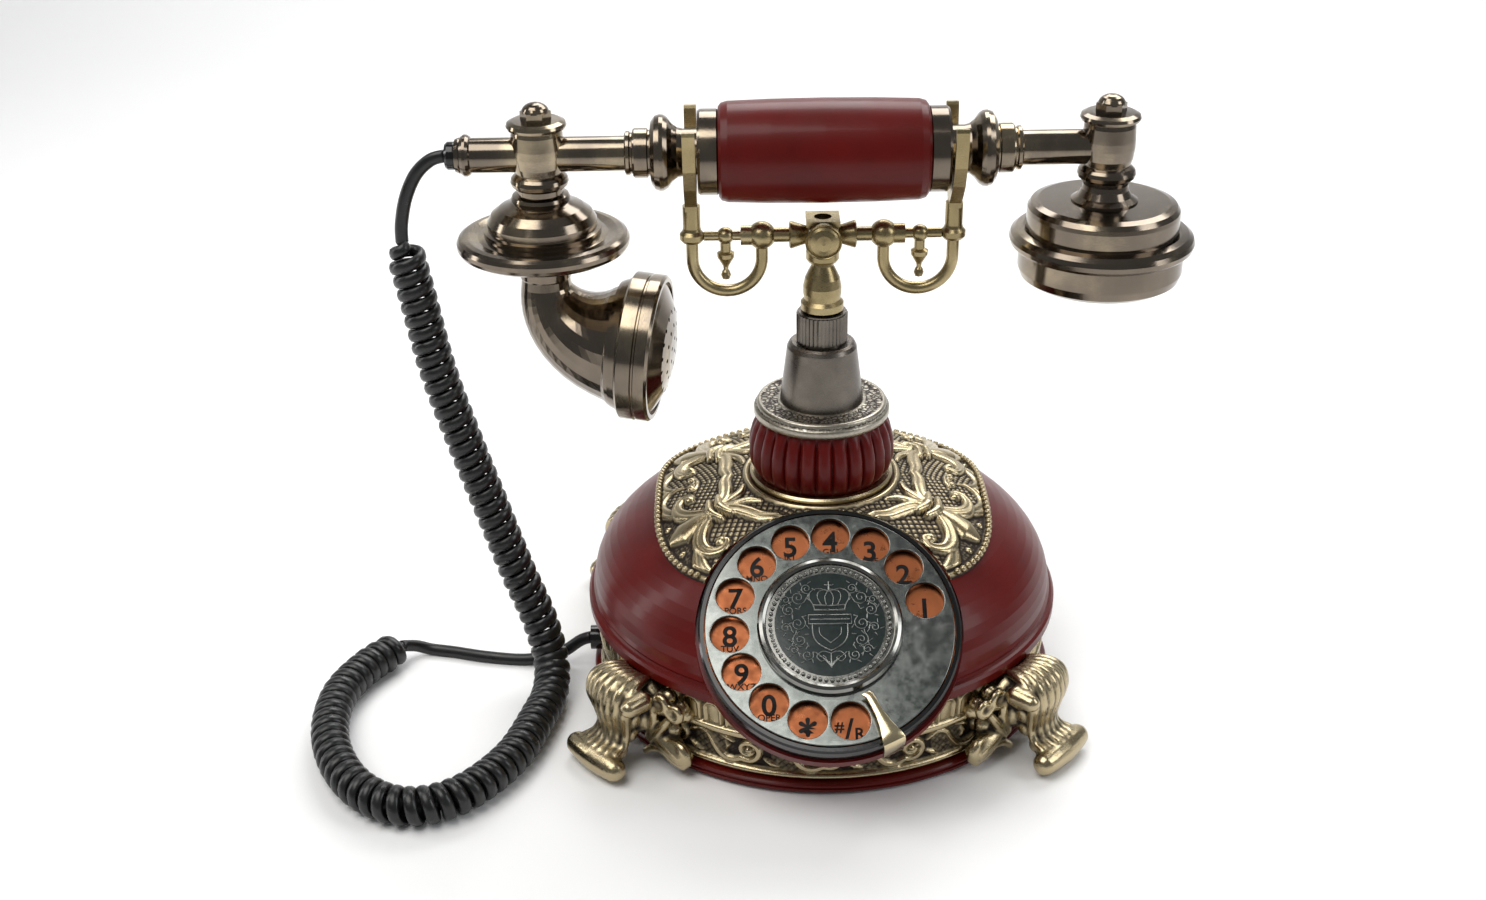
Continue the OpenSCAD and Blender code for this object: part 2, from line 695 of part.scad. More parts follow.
// Round boss with a raised rim on the front of the head block
module front_boss() {
    cradle_brass() translate([0, -block_half, bar_z]) rotate([90, 0, 0]) turned([
        [0, 0], [front_boss_r - 1.2, 0], [front_boss_r, 1.2], [front_boss_r, 3.4], [6.4, 3.9],
        [6, 3.5], [5, 4.2], [3, 4.9], [0, 5.2]
    ]);
}

// Cross rod of one side: flared cone, rod, large ball, collar, thin rod and small ball
module cross_rod() {
    translate([0, 0, bar_z]) rotate([0, 90, 0]) {
        turned([[0, block_half], [3.3, block_half], [5.15, 11.6], [5.15, 12.2], [4.4, 12.6], [0, 12.6]]);
        translate([0, 0, 12]) cylinder(r = 2.7, h = ball_x - 12);
        translate([0, 0, ball_x]) sphere(r = ball_r);
        translate([0, 0, ball_x]) cylinder(r = 3.7, h = ball_r + 2.6);
        translate([0, 0, ball_x]) cylinder(r = 1.85, h = yoke_x - 4.5 - ball_x);
        translate([0, 0, 36.4]) sphere(r = 3.25);
    }
}

module cross_rods() { cradle_brass() both_ends() cross_rod(); }

// U-shaped bar hanging from the yoke's ring to the large ball
module hook() {
    middle = (yoke_x + ball_x) / 2;
    bend_r = (yoke_x - ball_x) / 2;
    difference() {
        union() {
            translate([middle, 0, bar_z - 9]) rotate([-90, 0, 0])
                rotate_extrude(angle = 180) translate([bend_r, 0]) circle(r = hook_bar_r);
            translate([yoke_x, 0, bar_z - 9]) cylinder(r = hook_bar_r, h = 6.8);
            translate([ball_x, 0, bar_z - 9]) cylinder(r = hook_bar_r, h = 6);
        }
        translate([ball_x, 0, bar_z]) sphere(r = ball_r);
    }
}

module hook_right() { cradle_brass() hook(); }
module hook_left() { cradle_brass() mirror([1, 0, 0]) hook(); }

// Forked strip that holds the handset's neck, on its post and ring
module yoke() {
    half = [
        [0, -22], [3.3, -22], [3.3, -20], [7, -16.5], [12.6, -10.6], [16.6, -2.5], [18.4, 4.5], [19.2, 11.4], [18.6, 12.6],
        [17.2, 12.6], [16.6, 11.6], [15.8, 5], [14, -1.6], [10.6, -7], [6.8, -5.9], [0, -5.9]
    ];
    translate([yoke_x, 0, handset_z]) rotate([90, 0, 90]) difference() {
        linear_extrude(height = yoke_w, center = true)
            polygon(concat(half, [for (i = [len(half) - 2 : -1 : 0]) [-half[i][0], half[i][1]]]));
        cylinder(r = saddle_r, h = yoke_w + 2, center = true);
    }
    translate([yoke_x, 0, bar_z]) turned([
        [0, -2.2], [3.6, -2.2], [4.6, -1], [4.6, 1], [3.6, 2.2], [3.3, 3.4], [3.3, handset_z - 20.5 - bar_z],
        [0, handset_z - 20.5 - bar_z]
    ]);
}

module yoke_right() { cradle_brass() yoke(); }
module yoke_left() { cradle_brass() mirror([1, 0, 0]) yoke(); }

// Small turned drops under the small balls
module finials() {
    cradle_brass() both_ends() difference() {
        translate([36.4, 0, bar_z]) turned([
            [0, -2], [2, -2], [2, -6], [3.3, -6.8], [3.2, -8.4], [1.1, -12], [0.9, -13.4],
            [1.5, -14.2], [1.9, -15.6], [1.4, -17], [0, -17.6]
        ]);
        translate([36.4, 0, bar_z]) sphere(r = 3.25);
    }
}

// ---------- Handset ----------
module grip() {
    lacquer() along_handset() turned([
        [bore_r, -grip_half], [grip_r - 2.7, -grip_half], [grip_r - 1.4, -grip_half + 1],
        [grip_r - 0.7, -grip_half + 3.4], [grip_r - 0.2, -grip_half / 2], [grip_r, 0],
        [grip_r - 0.2, grip_half / 2], [grip_r - 0.7, grip_half - 3.4], [grip_r - 1.4, grip_half - 1],
        [grip_r - 2.7, grip_half], [bore_r, grip_half]
    ]);
}

module ferrules() {
    dark_nickel() both_ends() along_handset() translate([0, 0, grip_half]) turned([
        [bore_r, 0], [grip_r - 3.9, 0], [grip_r - 3.35, 0.6], [grip_r - 3.35, ferrule_w - 1],
        [grip_r - 4.1, ferrule_w], [bore_r, ferrule_w]
    ]);
}

// Neck with its flared bead, collar and thin ring
module necks() {
    n = neck_r;
    dark_nickel() both_ends() along_handset() translate([0, 0, neck_x]) turned([
        [bore_r, 0], [n, 0], [n, 5.5], [n + 0.5, 7.5], [n + 1.9, 9.3], [n + 4.1, 10.9], [n + 5.1, 12.4],
        [n + 5.3, 13.8], [n + 4.7, 15.6], [n + 2.8, 17], [n - 0.3, 17.5], [n - 0.3, 18], [n + 0.4, 18.4],
        [n + 0.4, 23], [n, 23.6], [n - 1.2, 24], [n - 1.2, 24.5], [n - 0.6, 25], [n - 0.6, 26.1],
        [n - 1.2, neck_len], [bore_r, neck_len]
    ]);
}

module arms() {
    dark_nickel() both_ends() along_handset() translate([0, 0, arm_x]) difference() {
        cylinder(r = arm_r, h = pillar_x - pillar_bore_r - arm_x);
        translate([0, 0, -1]) cylinder(r = bore_r, h = 60);
    }
}

// Short arm beyond the left pillar with its end ring
module stub_arm() {
    dark_nickel() mirror([1, 0, 0]) along_handset() translate([0, 0, pillar_x]) turned([
        [3, pillar_bore_r], [arm_r, pillar_bore_r], [arm_r, 24.4], [arm_r + 0.7, 24.9], [arm_r + 1.3, 26],
        [arm_r + 1.3, 27], [arm_r + 0.5, 28.1], [arm_r, 28.3], [arm_r + 0.2, 28.8], [arm_r - 0.4, 30.2], [3, 30.2]
    ]);
}

module strain_relief() {
    black_part() mirror([1, 0, 0]) along_handset() translate([0, 0, relief_x]) turned([
        [0, -8], [3, -8], [3, 0], [5, 0], [5.15, 0.6], [5.15, 2.8], [4.4, 3.7], [0, 3.7]
    ]);
}

module tie_tube() {
    steel_part() along_handset() translate([0, 0, -pillar_x + pillar_bore_r]) difference() {
        cylinder(r = bore_r, h = pillar_span - 2 * pillar_bore_r);
        translate([0, 0, -1]) cylinder(r = bore_r - 1.2, h = pillar_span);
    }
}

module pillar(arm_sides) {
    dark_nickel() translate([0, 0, handset_z]) difference() {
        turned([
            [pillar_bore_r, -12.2], [9.3, -12.2], [10.4, -11.2], [10.8, -9.8], [10.4, -8.4], [9.5, -7.5],
            [8.5, -6.8], [9.3, -4], [9.8, 0], [9.8, 3], [9.5, 8], [9.2, 9.6], [pillar_bore_r, 9.6]
        ]);
        for (s = arm_sides) rotate([0, s * 90, 0]) cylinder(r = arm_r, h = 30);
    }
}

module pillar_left() { translate([-pillar_x, 0, 0]) pillar([-1, 1]); }
module pillar_right() { translate([pillar_x, 0, 0]) pillar([-1]); }

// Cap disc with a six-sided domed nut, plugged into the top of each pillar
module cap_nuts() {
    dark_nickel() both_ends() translate([pillar_x, 0, handset_z]) {
        turned([
            [0, 7], [pillar_bore_r, 7], [pillar_bore_r, 9.6], [9.6, 9.6], [10.7, 10.2], [11.1, 11.2],
            [10.7, 12.3], [9, 13.1], [5, 13.4], [0, 13.4]
        ]);
        translate([0, 0, 13]) cylinder(r = 5.7, h = 3.4, $fn = 6);
        translate([0, 0, 15.8]) turned(concat([[0, 0]], ellipse_arc(5.1, 3.6, 0.2, 0, 90, 6)));
    }
}

// Turned mouthpiece head: neck rings, dome, saucer dish and lower collar
module mouth_dish() {
    d = dish_r;
    dark_nickel() translate([-pillar_x, 0, handset_z]) turned([
        [5, -12.2], [8.5, -12.2], [8.5, -14.4], [10.4, -15.1], [11, -16.3], [10.5, -17.6], [12, -18.4],
        [15.6, -19.8], [18.8, -22.2], [20.4, -25], [20.4, -27.6], [21.9, -28], [21.9, -30.2],
        [d - 8, -30.6], [d - 4.4, -30], [d - 2.2, -30.2], [d - 0.8, -31], [d, -32.4], [d, -34],
        [d - 0.7, -35.4], [d - 2.2, -36.4], [d - 6, -37], [14, -37.6], [10.1, -37.8], [10.1, -42], [9.6, -42.5],
        [9.6, -47.2], [horn_start_r, horn_top], [5, horn_top]
    ]);
}

// Centre line of the horn, whose bend opens as it turns, run past both ends by some length
function horn_bend(a) =
    let (turned_by = a * PI / 180, growth = horn_bend_growth / (horn_turn * PI / 180))
    [horn_bend_r * (1 - cos(a)) + growth * (sin(a) - turned_by * cos(a)), 0,
        -horn_drop - horn_bend_r * sin(a) - growth * (cos(a) + turned_by * sin(a) - 1)];

function horn_route(past) =
    let (steps = 12)
    let (bend = [for (i = [0 : steps]) horn_bend(horn_turn * i / steps)])
    let (lip = horn_lip * [sin(horn_turn), 0, -cos(horn_turn)])
    concat([[0, 0, past]], bend, [bend[steps] + lip * (1 + past)]);

// Curved horn that widens from the lower collar to the mouth
module horn() {
    outer = [for (i = [0 : 14]) horn_start_r + (horn_end_r - horn_start_r) * pow(i / 14, 1.4)];
    mouth = [sin(horn_turn), 0, -cos(horn_turn)];
    dark_nickel() at_horn() difference() {
        swept_tube(horn_route(0), outer, 32, [0, 1, 0], [0, 0, -1], mouth);
        swept_tube(horn_route(0.5), [for (r = outer) r - 2], 32, [0, 1, 0], [0, 0, -1], mouth);
    }
}

module at_horn() { translate([-pillar_x, 0, handset_z + horn_top]) rotate([0, 0, horn_yaw]) children(); }

module at_mouth() {
    lip = horn_lip * [sin(horn_turn), 0, -cos(horn_turn)];
    at_horn() translate(horn_bend(horn_turn) + lip) rotate([0, 180 - horn_turn, 0]) children();
}

module horn_rim() {
    m = mouth_r;
    dark_nickel() at_mouth() turned([
        [horn_end_r - 2, 0], [horn_end_r, 0], [horn_end_r + 0.7, 1.4], [m - 2.6, 4], [m - 0.9, 4.6], [m, 5.4],
        [m, 10.6], [m - 0.7, 11], [m - 0.7, 11.6], [m - 0.1, 12], [m - 0.1, 16], [m - 1.1, 17],
        [m - 2.8, 17], [m - 2.8, 6.4], [horn_end_r - 2, 3]
    ]);
}

// Domed grille with rings of small holes
module mouth_grille() {
    g = mouth_r - 2.8;
    dark_nickel() at_mouth() difference() {
        turned([
            [0, 20.6], [7, 20.2], [14, 18.7], [g - 4, 15.6], [g, 13.4], [g, 15.8], [g - 3.4, 17.6],
            [16, 20.6], [8, 22.2], [0, 22.6]
        ]);
        for (ring = [0 : 3], i = [0 : max(ring * 6 - 1, 0)])
            rotate([0, 0, ring == 0 ? 0 : 60 * i / ring]) translate([ring * 5.2, 0, 10]) cylinder(r = 0.8, h = 20, $fn = 16);
    }
}

module microphone() {
    black_part() at_mouth() turned([
        [0, 6.4], [mouth_r - 2.8, 6.4], [mouth_r - 2.8, 8], [9, 8], [9, 13], [0, 13]
    ]);
}

// Neck and drum of the earpiece, hollow below
module ear_drum() {
    r = drum_r;
    dark_nickel() translate([pillar_x, 0, handset_z]) turned([
        [5, -12.2], [8.5, -12.2], [8.3, -14], [8.7, -16], [10, -18.4], [12.3, -19.9], [12.3, -20.5],
        [r - 4, -20.7], [r - 1.4, -21.5], [r - 0.2, -23.2], [r, -24.8], [r, -30.5], [r - 1, -30.9],
        [r - 1, -31.6], [r - 3.3, -31.6], [r - 3.3, -24], [5, -23]
    ]);
}

module ear_ring() {
    e = ear_ring_r;
    dark_nickel() translate([pillar_x, 0, handset_z]) turned([
        [drum_r - 3.3, -31.6], [drum_r - 1, -31.6], [e - 5, -31.4], [e - 2.4, -32], [e - 0.6, -33.4], [e, -35.1], [e - 0.5, -37],
        [e - 1.9, -38.4], [e - 3.7, -39], [drum_r - 3.3, -39]
    ]);
}

// Lower cover of the earpiece with a shallow hollow and sound holes
module ear_cover() {
    c = ear_ring_r - 3.7;
    dark_nickel() translate([pillar_x, 0, handset_z]) difference() {
        turned([
            [drum_r - 3.3, -39], [c, -39], [c, -46.4], [c - 1, -49.4], [c - 3.7, -51.2], [c - 10.7, -51],
            [14, -49.6], [0, -49.2], [0, -47.2], [13.6, -47.5], [c - 11.2, -48.9], [c - 5, -49],
            [c - 2.5, -46.4], [c - 2.5, -41.2], [drum_r - 3.3, -41.2]
        ]);
        for (ring = [0 : 2], i = [0 : max(ring * 6 - 1, 0)])
            rotate([0, 0, ring == 0 ? 0 : 60 * i / ring]) translate([ring * 5, 0, -60]) cylinder(r = 1.2, h = 20, $fn = 16);
    }
}

module speaker() {
    black_part() translate([pillar_x, 0, handset_z]) turned([
        [0, -39], [drum_r - 3.3, -39], [drum_r - 3.3, -35], [11, -35], [11, -27], [0, -27]
    ]);
}

// ---------- Cord ----------
module cord_upper() {
    p = smooth_route(upper_route, 3);
    black_part() swept_tube(p, [for (q = p) lead_r], 8, [0, 1, 0], [-1, 0, 0], coil_start);
}

module cord_coil() {
    p = smooth_route(coil_route, 2);
    black_part() swept_tube(p, [for (q = p) coil_r], 12, [0, 1, 0], coil_start, coil_end);
}

module cord_lower() {
    p = smooth_route(lower_route, 2);
    black_part() swept_tube(p, [for (q = p) lead_r], 8, [0, 0, 1], coil_end, [1, 0, 0]);
}

base_felt();
base_plate();
base_screws();
skirt();
feet();
dome_shell();
dome_ornament();
bulb_ring();
bulb();
column_disc();
column_cone();
knurled_nut();
column_tube();
hook_switch();
circuit_board();
line_socket();
cord_gland();
dial_bezel();
number_plate();
finger_stop();
dial_mechanism();
ringer_switch();
switch_button();
finger_wheel();
medallion_ring();
medallion_label();
dial_shaft();
governor();
plunger_rod();
baluster();
head_block();
front_boss();
cross_rods();
hook_left();
hook_right();
yoke_left();
yoke_right();
finials();
grip();
ferrules();
necks();
arms();
stub_arm();
strain_relief();
tie_tube();
pillar_left();
pillar_right();
cap_nuts();
mouth_dish();
horn();
horn_rim();
mouth_grille();
microphone();
ear_drum();
ear_ring();
ear_cover();
speaker();
cord_upper();
cord_coil();
cord_lower();
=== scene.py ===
import math

import bmesh
import bpy
import numpy as np
from mathutils import Matrix, Vector


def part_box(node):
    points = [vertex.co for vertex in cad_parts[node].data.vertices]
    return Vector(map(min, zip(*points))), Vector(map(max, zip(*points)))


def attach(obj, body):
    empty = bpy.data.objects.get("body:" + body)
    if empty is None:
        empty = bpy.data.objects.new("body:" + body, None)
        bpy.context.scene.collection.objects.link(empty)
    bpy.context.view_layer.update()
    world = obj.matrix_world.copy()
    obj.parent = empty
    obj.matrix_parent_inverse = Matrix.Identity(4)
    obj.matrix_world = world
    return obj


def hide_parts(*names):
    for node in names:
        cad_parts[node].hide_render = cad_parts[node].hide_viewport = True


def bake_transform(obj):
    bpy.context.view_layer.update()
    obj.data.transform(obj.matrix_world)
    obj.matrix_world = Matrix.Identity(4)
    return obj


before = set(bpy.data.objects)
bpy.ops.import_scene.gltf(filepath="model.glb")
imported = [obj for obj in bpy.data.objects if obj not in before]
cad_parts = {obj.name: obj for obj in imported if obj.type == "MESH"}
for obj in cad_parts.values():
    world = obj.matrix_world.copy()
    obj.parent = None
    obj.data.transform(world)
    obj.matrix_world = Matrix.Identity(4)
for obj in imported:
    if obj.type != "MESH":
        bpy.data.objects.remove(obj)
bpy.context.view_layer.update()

bl_info = {
    "name": "Cradle Telephone",
    "version": (1, 0, 0),
    "blender": (4, 5, 0),
    "location": "View3D > Sidebar > Telephone",
    "description": "Finishes a French-style cradle telephone around its packed frame",
    "category": "Object",
}

MM = 0.001

# Places taken from the frame
FLANGE_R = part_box("dome_shell")[1].x
SKIRT_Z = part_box("skirt")[0].z
FLANGE_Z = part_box("skirt")[1].z
BAND_R = FLANGE_R - 5.2 * MM
SPRING_Z = FLANGE_Z + 9 * MM
DOME_R = FLANGE_R - 2.7 * MM
SEAT_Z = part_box("dome_shell")[1].z
DOME_RISE = SEAT_Z - SPRING_Z + 2.5 * MM
BULB_LOW, BULB_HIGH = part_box("bulb")
DISC_LOW, DISC_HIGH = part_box("column_disc")

# The dial's own frame: +Z outwards, +Y up the wheel, its origin at the middle of the wheel's face
DIAL_TILT = math.radians(35)
DIAL_PLACE = Matrix.Translation((0, -76 * MM, 63.6 * MM)) @ Matrix.Rotation(DIAL_TILT, 4, "X")
BOSS_R = 49.6 * MM
WHEEL_R = 46 * MM
HOLE_R = 7.2 * MM
HOLE_CIRCLE_R = 37 * MM
NUMBER_PLATE_TOP = -3.6 * MM
LABEL_BEADS_R = 22 * MM
# Clock angles on the dial, in degrees
FIRST_HOLE = 74.3
HOLE_STEP = 24
STOP_CLOCK = 155

# Route of the cord, in millimetres: two straight ends and the middle of the curly part
UPPER_ROUTE = [
    (-138.4, 0, 221), (-144, 0, 219.5), (-150, 0, 214), (-154.5, 0, 205), (-157, 0, 195), (-157.5, 0, 188),
]
COIL_ROUTE = [
    (-157.5, 0, 188), (-153.5, -1, 166), (-148, -3, 136), (-140, -5, 107), (-131.5, -7, 79),
    (-123, -10, 52), (-115, -13, 30), (-110.5, -19, 13), (-110, -33, 7.7), (-113, -50, 7.7),
    (-121.5, -78, 7.7), (-138, -100, 7.7), (-158, -106, 7.7), (-178, -93, 7.7), (-192, -66, 7.7),
    (-195, -36, 7.7), (-187, -13, 7.7), (-175, 2, 7.7),
]
LOWER_ROUTE = [
    (-175, 2, 7.7), (-170, 6, 5), (-164, 7, 2.6), (-154, 5, 2.3), (-140, 1, 2.3), (-123, -1.5, 2.3),
    (-109, -1, 5), (-100, 0, 10.5), (-95.5, 0, 12),
]


# ---------- Settings ----------
def length(name, text, default, low, high):
    return bpy.props.FloatProperty(
        name=name, description=text, default=default, min=low, max=high, subtype="DISTANCE", unit="LENGTH"
    )


def colour(name, text, default):
    return bpy.props.FloatVectorProperty(
        name=name, description=text, default=default, size=4, min=0, max=1, subtype="COLOR"
    )


class FinishSettings(bpy.types.PropertyGroup):
    lacquer: colour("Lacquer", "Red of the dome, bulb and grip", (0.105, 0.0035, 0.0022, 1))
    gold: colour("Gold", "Antique gold on the high parts of the relief", (0.4, 0.33, 0.205, 1))
    patina: colour("Patina", "Dark colour in the hollows of the relief", (0.022, 0.013, 0.009, 1))
    nickel: colour("Dark nickel", "Polished metal of the handset", (0.2, 0.165, 0.13, 1))
    brass: colour("Cradle brass", "Satin brass of the cradle", (0.36, 0.285, 0.15, 1))
    copper: colour("Copper", "Number plate under the finger holes", (0.3, 0.1, 0.042, 1))


class ReliefSettings(bpy.types.PropertyGroup):
    ornament: length("Ornament relief", "Height of the relief on the dome", 2.3 * MM, 0.5 * MM, 3 * MM)
    skirt: length("Skirt relief", "Height of the relief on the skirt", 2.2 * MM, 0.5 * MM, 2.6 * MM)
    ribs: bpy.props.IntProperty(
        name="Bulb ribs", description="Ribs round the bulb", default=26, min=12, max=40
    )
    tongues: bpy.props.IntProperty(
        name="Tongues", description="Tongues in the skirt's upper band", default=62, min=40, max=80
    )
    scrolls: bpy.props.IntProperty(
        name="Scrolls", description="Scrolls in the skirt's lower band", default=18, min=12, max=24
    )
    bead: length("Bead", "Radius of the beads on the ornament's edge", 1.35 * MM, 0.8 * MM, 1.8 * MM)


class CordSettings(bpy.types.PropertyGroup):
    width: length("Cord width", "Width of the flat cord", 5 * MM, 3 * MM, 6 * MM)
    thickness: length("Cord thickness", "Thickness of the flat cord", 3.2 * MM, 1 * MM, 4 * MM)
    coil_radius: length("Coil radius", "Outer radius of the curly part", 7.5 * MM, 5 * MM, 7.6 * MM)
    pitch: length("Coil pitch", "Distance between the turns of the curly part", 5.45 * MM, 5.3 * MM, 8 * MM)


# ---------- Materials ----------
class Finish:
    """A material and short calls that add and join its nodes."""

    def __init__(self, name):
        self.material = bpy.data.materials.new(name)
        self.material.use_nodes = True
        self.tree = self.material.node_tree
        self.shader = self.tree.nodes["Principled BSDF"]
        self.place = self.tree.nodes.new("ShaderNodeTexCoord").outputs["Object"]

    def add(self, kind, **values):
        node = self.tree.nodes.new(kind)
        for key, value in values.items():
            if key.startswith("_"):
                setattr(node, key[1:], value)
            else:
                self.put(node.inputs[key.replace("__", " ")], value)
        return node

    def put(self, socket, value):
        if isinstance(value, bpy.types.NodeSocket):
            self.tree.links.new(value, socket)
        else:
            socket.default_value = value

    def set(self, **values):
        for key, value in values.items():
            self.put(self.shader.inputs[key.replace("__", " ")], value)

    def noise(self, scale, detail=3.0, roughness=0.5, place=None):
        return self.add(
            "ShaderNodeTexNoise", Vector=place or self.place, Scale=scale, Detail=detail, Roughness=roughness
        ).outputs["Fac"]

    def stretched(self, scale):
        return self.add("ShaderNodeMapping", Vector=self.place, Scale=scale).outputs["Vector"]

    def ramp(self, fac, *stops):
        node = self.add("ShaderNodeValToRGB", Fac=fac)
        marks = node.color_ramp.elements
        while len(marks) < len(stops):
            marks.new(0.5)
        for mark, (at, shade) in zip(marks, stops):
            mark.position = at
            mark.color = shade if hasattr(shade, "__len__") else (shade, shade, shade, 1)
        return node.outputs["Color"]

    def sum(self, kind, a, b, clamp=False):
        node = self.add("ShaderNodeMath", _operation=kind, _use_clamp=clamp)
        self.put(node.inputs[0], a)
        self.put(node.inputs[1], b)
        return node.outputs["Value"]

    def bump(self, height, strength, distance, after=None):
        node = self.add("ShaderNodeBump", Height=height, Strength=strength, Distance=distance)
        if after is not None:
            self.put(node.inputs["Normal"], after)
        return node.outputs["Normal"]


def darker(shade, by):
    return (shade[0] * by, shade[1] * by, shade[2] * by, 1)


def lacquer_finish(look):
    red = tuple(look.lacquer)
    f = Finish("red_lacquer")
    cloud = f.noise(55, 4)
    f.set(
        Base__Color=f.ramp(cloud, (0.3, darker(red, 0.85)), (0.5, red), (0.72, darker(red, 1.12))),
        Roughness=f.ramp(f.noise(60, 3, 0.6), (0.3, 0.34), (0.7, 0.42)),
        Normal=f.bump(f.noise(700, 2), 0.03, 0.0001),
    )
    f.set(Coat__Weight=0.16, Coat__Roughness=0.14, Specular__IOR__Level=0.2)
    return f.material


def relief_finish(look):
    """Antique gold, rubbed bright on high parts and dark in the hollows that each piece's attribute marks."""
    gold, dark = tuple(look.gold), tuple(look.patina)
    f = Finish("aged_gold")
    hollow = f.add("ShaderNodeAttribute", _attribute_name="hollow", _attribute_type="GEOMETRY").outputs["Fac"]
    grime = f.sum("MULTIPLY", f.sum("SUBTRACT", f.noise(420, 6, 0.65), 0.5), 0.7)
    worn = f.sum("ADD", hollow, grime, clamp=True)
    f.set(
        Base__Color=f.ramp(
            worn, (0.12, darker(gold, 1.18)), (0.34, gold), (0.6, darker(gold, 0.42)), (0.86, dark)
        ),
        Metallic=f.ramp(worn, (0.3, 1.0), (0.9, 0.45)),
        Roughness=f.ramp(worn, (0.1, 0.25), (0.5, 0.42), (0.9, 0.7)),
        Normal=f.bump(f.noise(1500, 4, 0.6), 0.35, 0.0002),
    )
    return f.material


def turned_metal(name, shade, edge, roughness, stretch):
    """Polished metal with fine lathe marks, a clouded tone and rubbed patches."""
    f = Finish(name)
    marks = f.noise(900, 3, 0.6, f.stretched(stretch))
    cloud = f.noise(38, 3, 0.55)
    worn = f.sum("ADD", f.sum("MULTIPLY", marks, 0.3), f.sum("MULTIPLY", cloud, 0.8))
    f.set(
        Base__Color=f.ramp(worn, (0.35, darker(shade, 0.8)), (0.55, shade), (0.8, edge)),
        Roughness=f.ramp(marks, (0.3, roughness * 0.75), (0.7, roughness * 1.3)),
        Normal=f.bump(marks, 0.06, 0.0001),
    )
    f.set(Metallic=1.0)
    return f.material


def plain_plastic(name, shade, roughness, scale=900):
    f = Finish(name)
    grain = f.noise(scale, 3)
    f.set(
        Base__Color=f.ramp(grain, (0.3, darker(shade, 0.8)), (0.7, darker(shade, 1.15))),
        Roughness=f.ramp(f.noise(120, 3), (0.3, roughness * 0.8), (0.7, roughness * 1.2)),
        Normal=f.bump(grain, 0.08, 0.0001),
    )
    return f.material


def mirror_metal(name, low, high, roughness):
    f = Finish(name)
    haze = f.noise(30, 3)
    f.set(
        Base__Color=f.ramp(haze, (0.3, low), (0.7, high)),
        Roughness=f.ramp(f.noise(260, 5, 0.6), (0.35, roughness * 0.6), (0.75, roughness * 1.5)),
        Normal=f.bump(f.noise(90, 2), 0.02, 0.0003),
    )
    f.set(Metallic=1.0)
    return f.material


def felt_finish():
    f = Finish("felt")
    fibre = f.noise(2600, 5, 0.7)
    f.set(
        Base__Color=f.ramp(fibre, (0.3, 0.008), (0.7, 0.05)),
        Roughness=f.ramp(fibre, (0.2, 0.85), (0.8, 1.0)),
        Normal=f.bump(fibre, 0.5, 0.0003),
    )
    f.set(Sheen__Weight=0.4)
    return f.material


def engraved_finish(look):
    """Speckled antique silver of the disc, with a fine engraved pattern."""
    silver, dark = (0.42, 0.385, 0.32, 1), tuple(look.patina)
    f = Finish("engraved_silver")
    cells = f.add(
        "ShaderNodeTexVoronoi", Vector=f.place, Scale=520, Randomness=0.85, _feature="DISTANCE_TO_EDGE"
    )
    lines = f.sum("MULTIPLY", cells.outputs["Distance"], 2.4, clamp=True)
    hollow = f.add("ShaderNodeAttribute", _attribute_name="hollow", _attribute_type="GEOMETRY").outputs["Fac"]
    mixed = f.sum("ADD", f.sum("SUBTRACT", 1.0, lines), f.sum("SUBTRACT", f.noise(160, 5, 0.7), 0.72))
    worn = f.sum("ADD", f.sum("MULTIPLY", mixed, hollow), f.sum("MULTIPLY", f.noise(500, 4), 0.3), clamp=True)
    f.set(
        Base__Color=f.ramp(worn, (0.12, silver), (0.4, darker(silver, 0.7)), (0.85, dark)),
        Roughness=f.ramp(worn, (0.1, 0.27), (0.9, 0.6)),
        Metallic=f.ramp(worn, (0.2, 1.0), (0.9, 0.6)),
        Normal=f.bump(f.sum("MULTIPLY", worn, -1.0), 0.5, 0.0003),
    )
    return f.material


def cord_finish():
    f = Finish("cord_black")
    grain = f.noise(1400, 4, 0.6)
    f.set(
        Base__Color=f.ramp(grain, (0.3, 0.0045), (0.7, 0.012)),
        Roughness=f.ramp(f.noise(210, 3), (0.3, 0.26), (0.7, 0.42)),
        Normal=f.bump(grain, 0.1, 0.0001),
    )
    return f.material


def board_finish():
    f = Finish("board_green")
    traces = f.add("ShaderNodeTexBrick", Vector=f.place, Scale=120, Mortar__Size=0.04)
    f.put(traces.inputs["Color1"], (0.012, 0.07, 0.03, 1))
    f.put(traces.inputs["Color2"], (0.016, 0.09, 0.04, 1))
    f.put(traces.inputs["Mortar"], (0.03, 0.16, 0.07, 1))
    f.set(Base__Color=traces.outputs["Color"], Roughness=f.ramp(f.noise(300), (0.3, 0.35), (0.7, 0.5)))
    return f.material


def floor_finish():
    f = Finish("pale_floor")
    f.set(
        Base__Color=f.ramp(f.noise(3, 2), (0.3, 0.96), (0.7, 0.98)),
        Roughness=f.ramp(f.noise(40, 2), (0.3, 0.5), (0.7, 0.6)),
    )
    return f.material


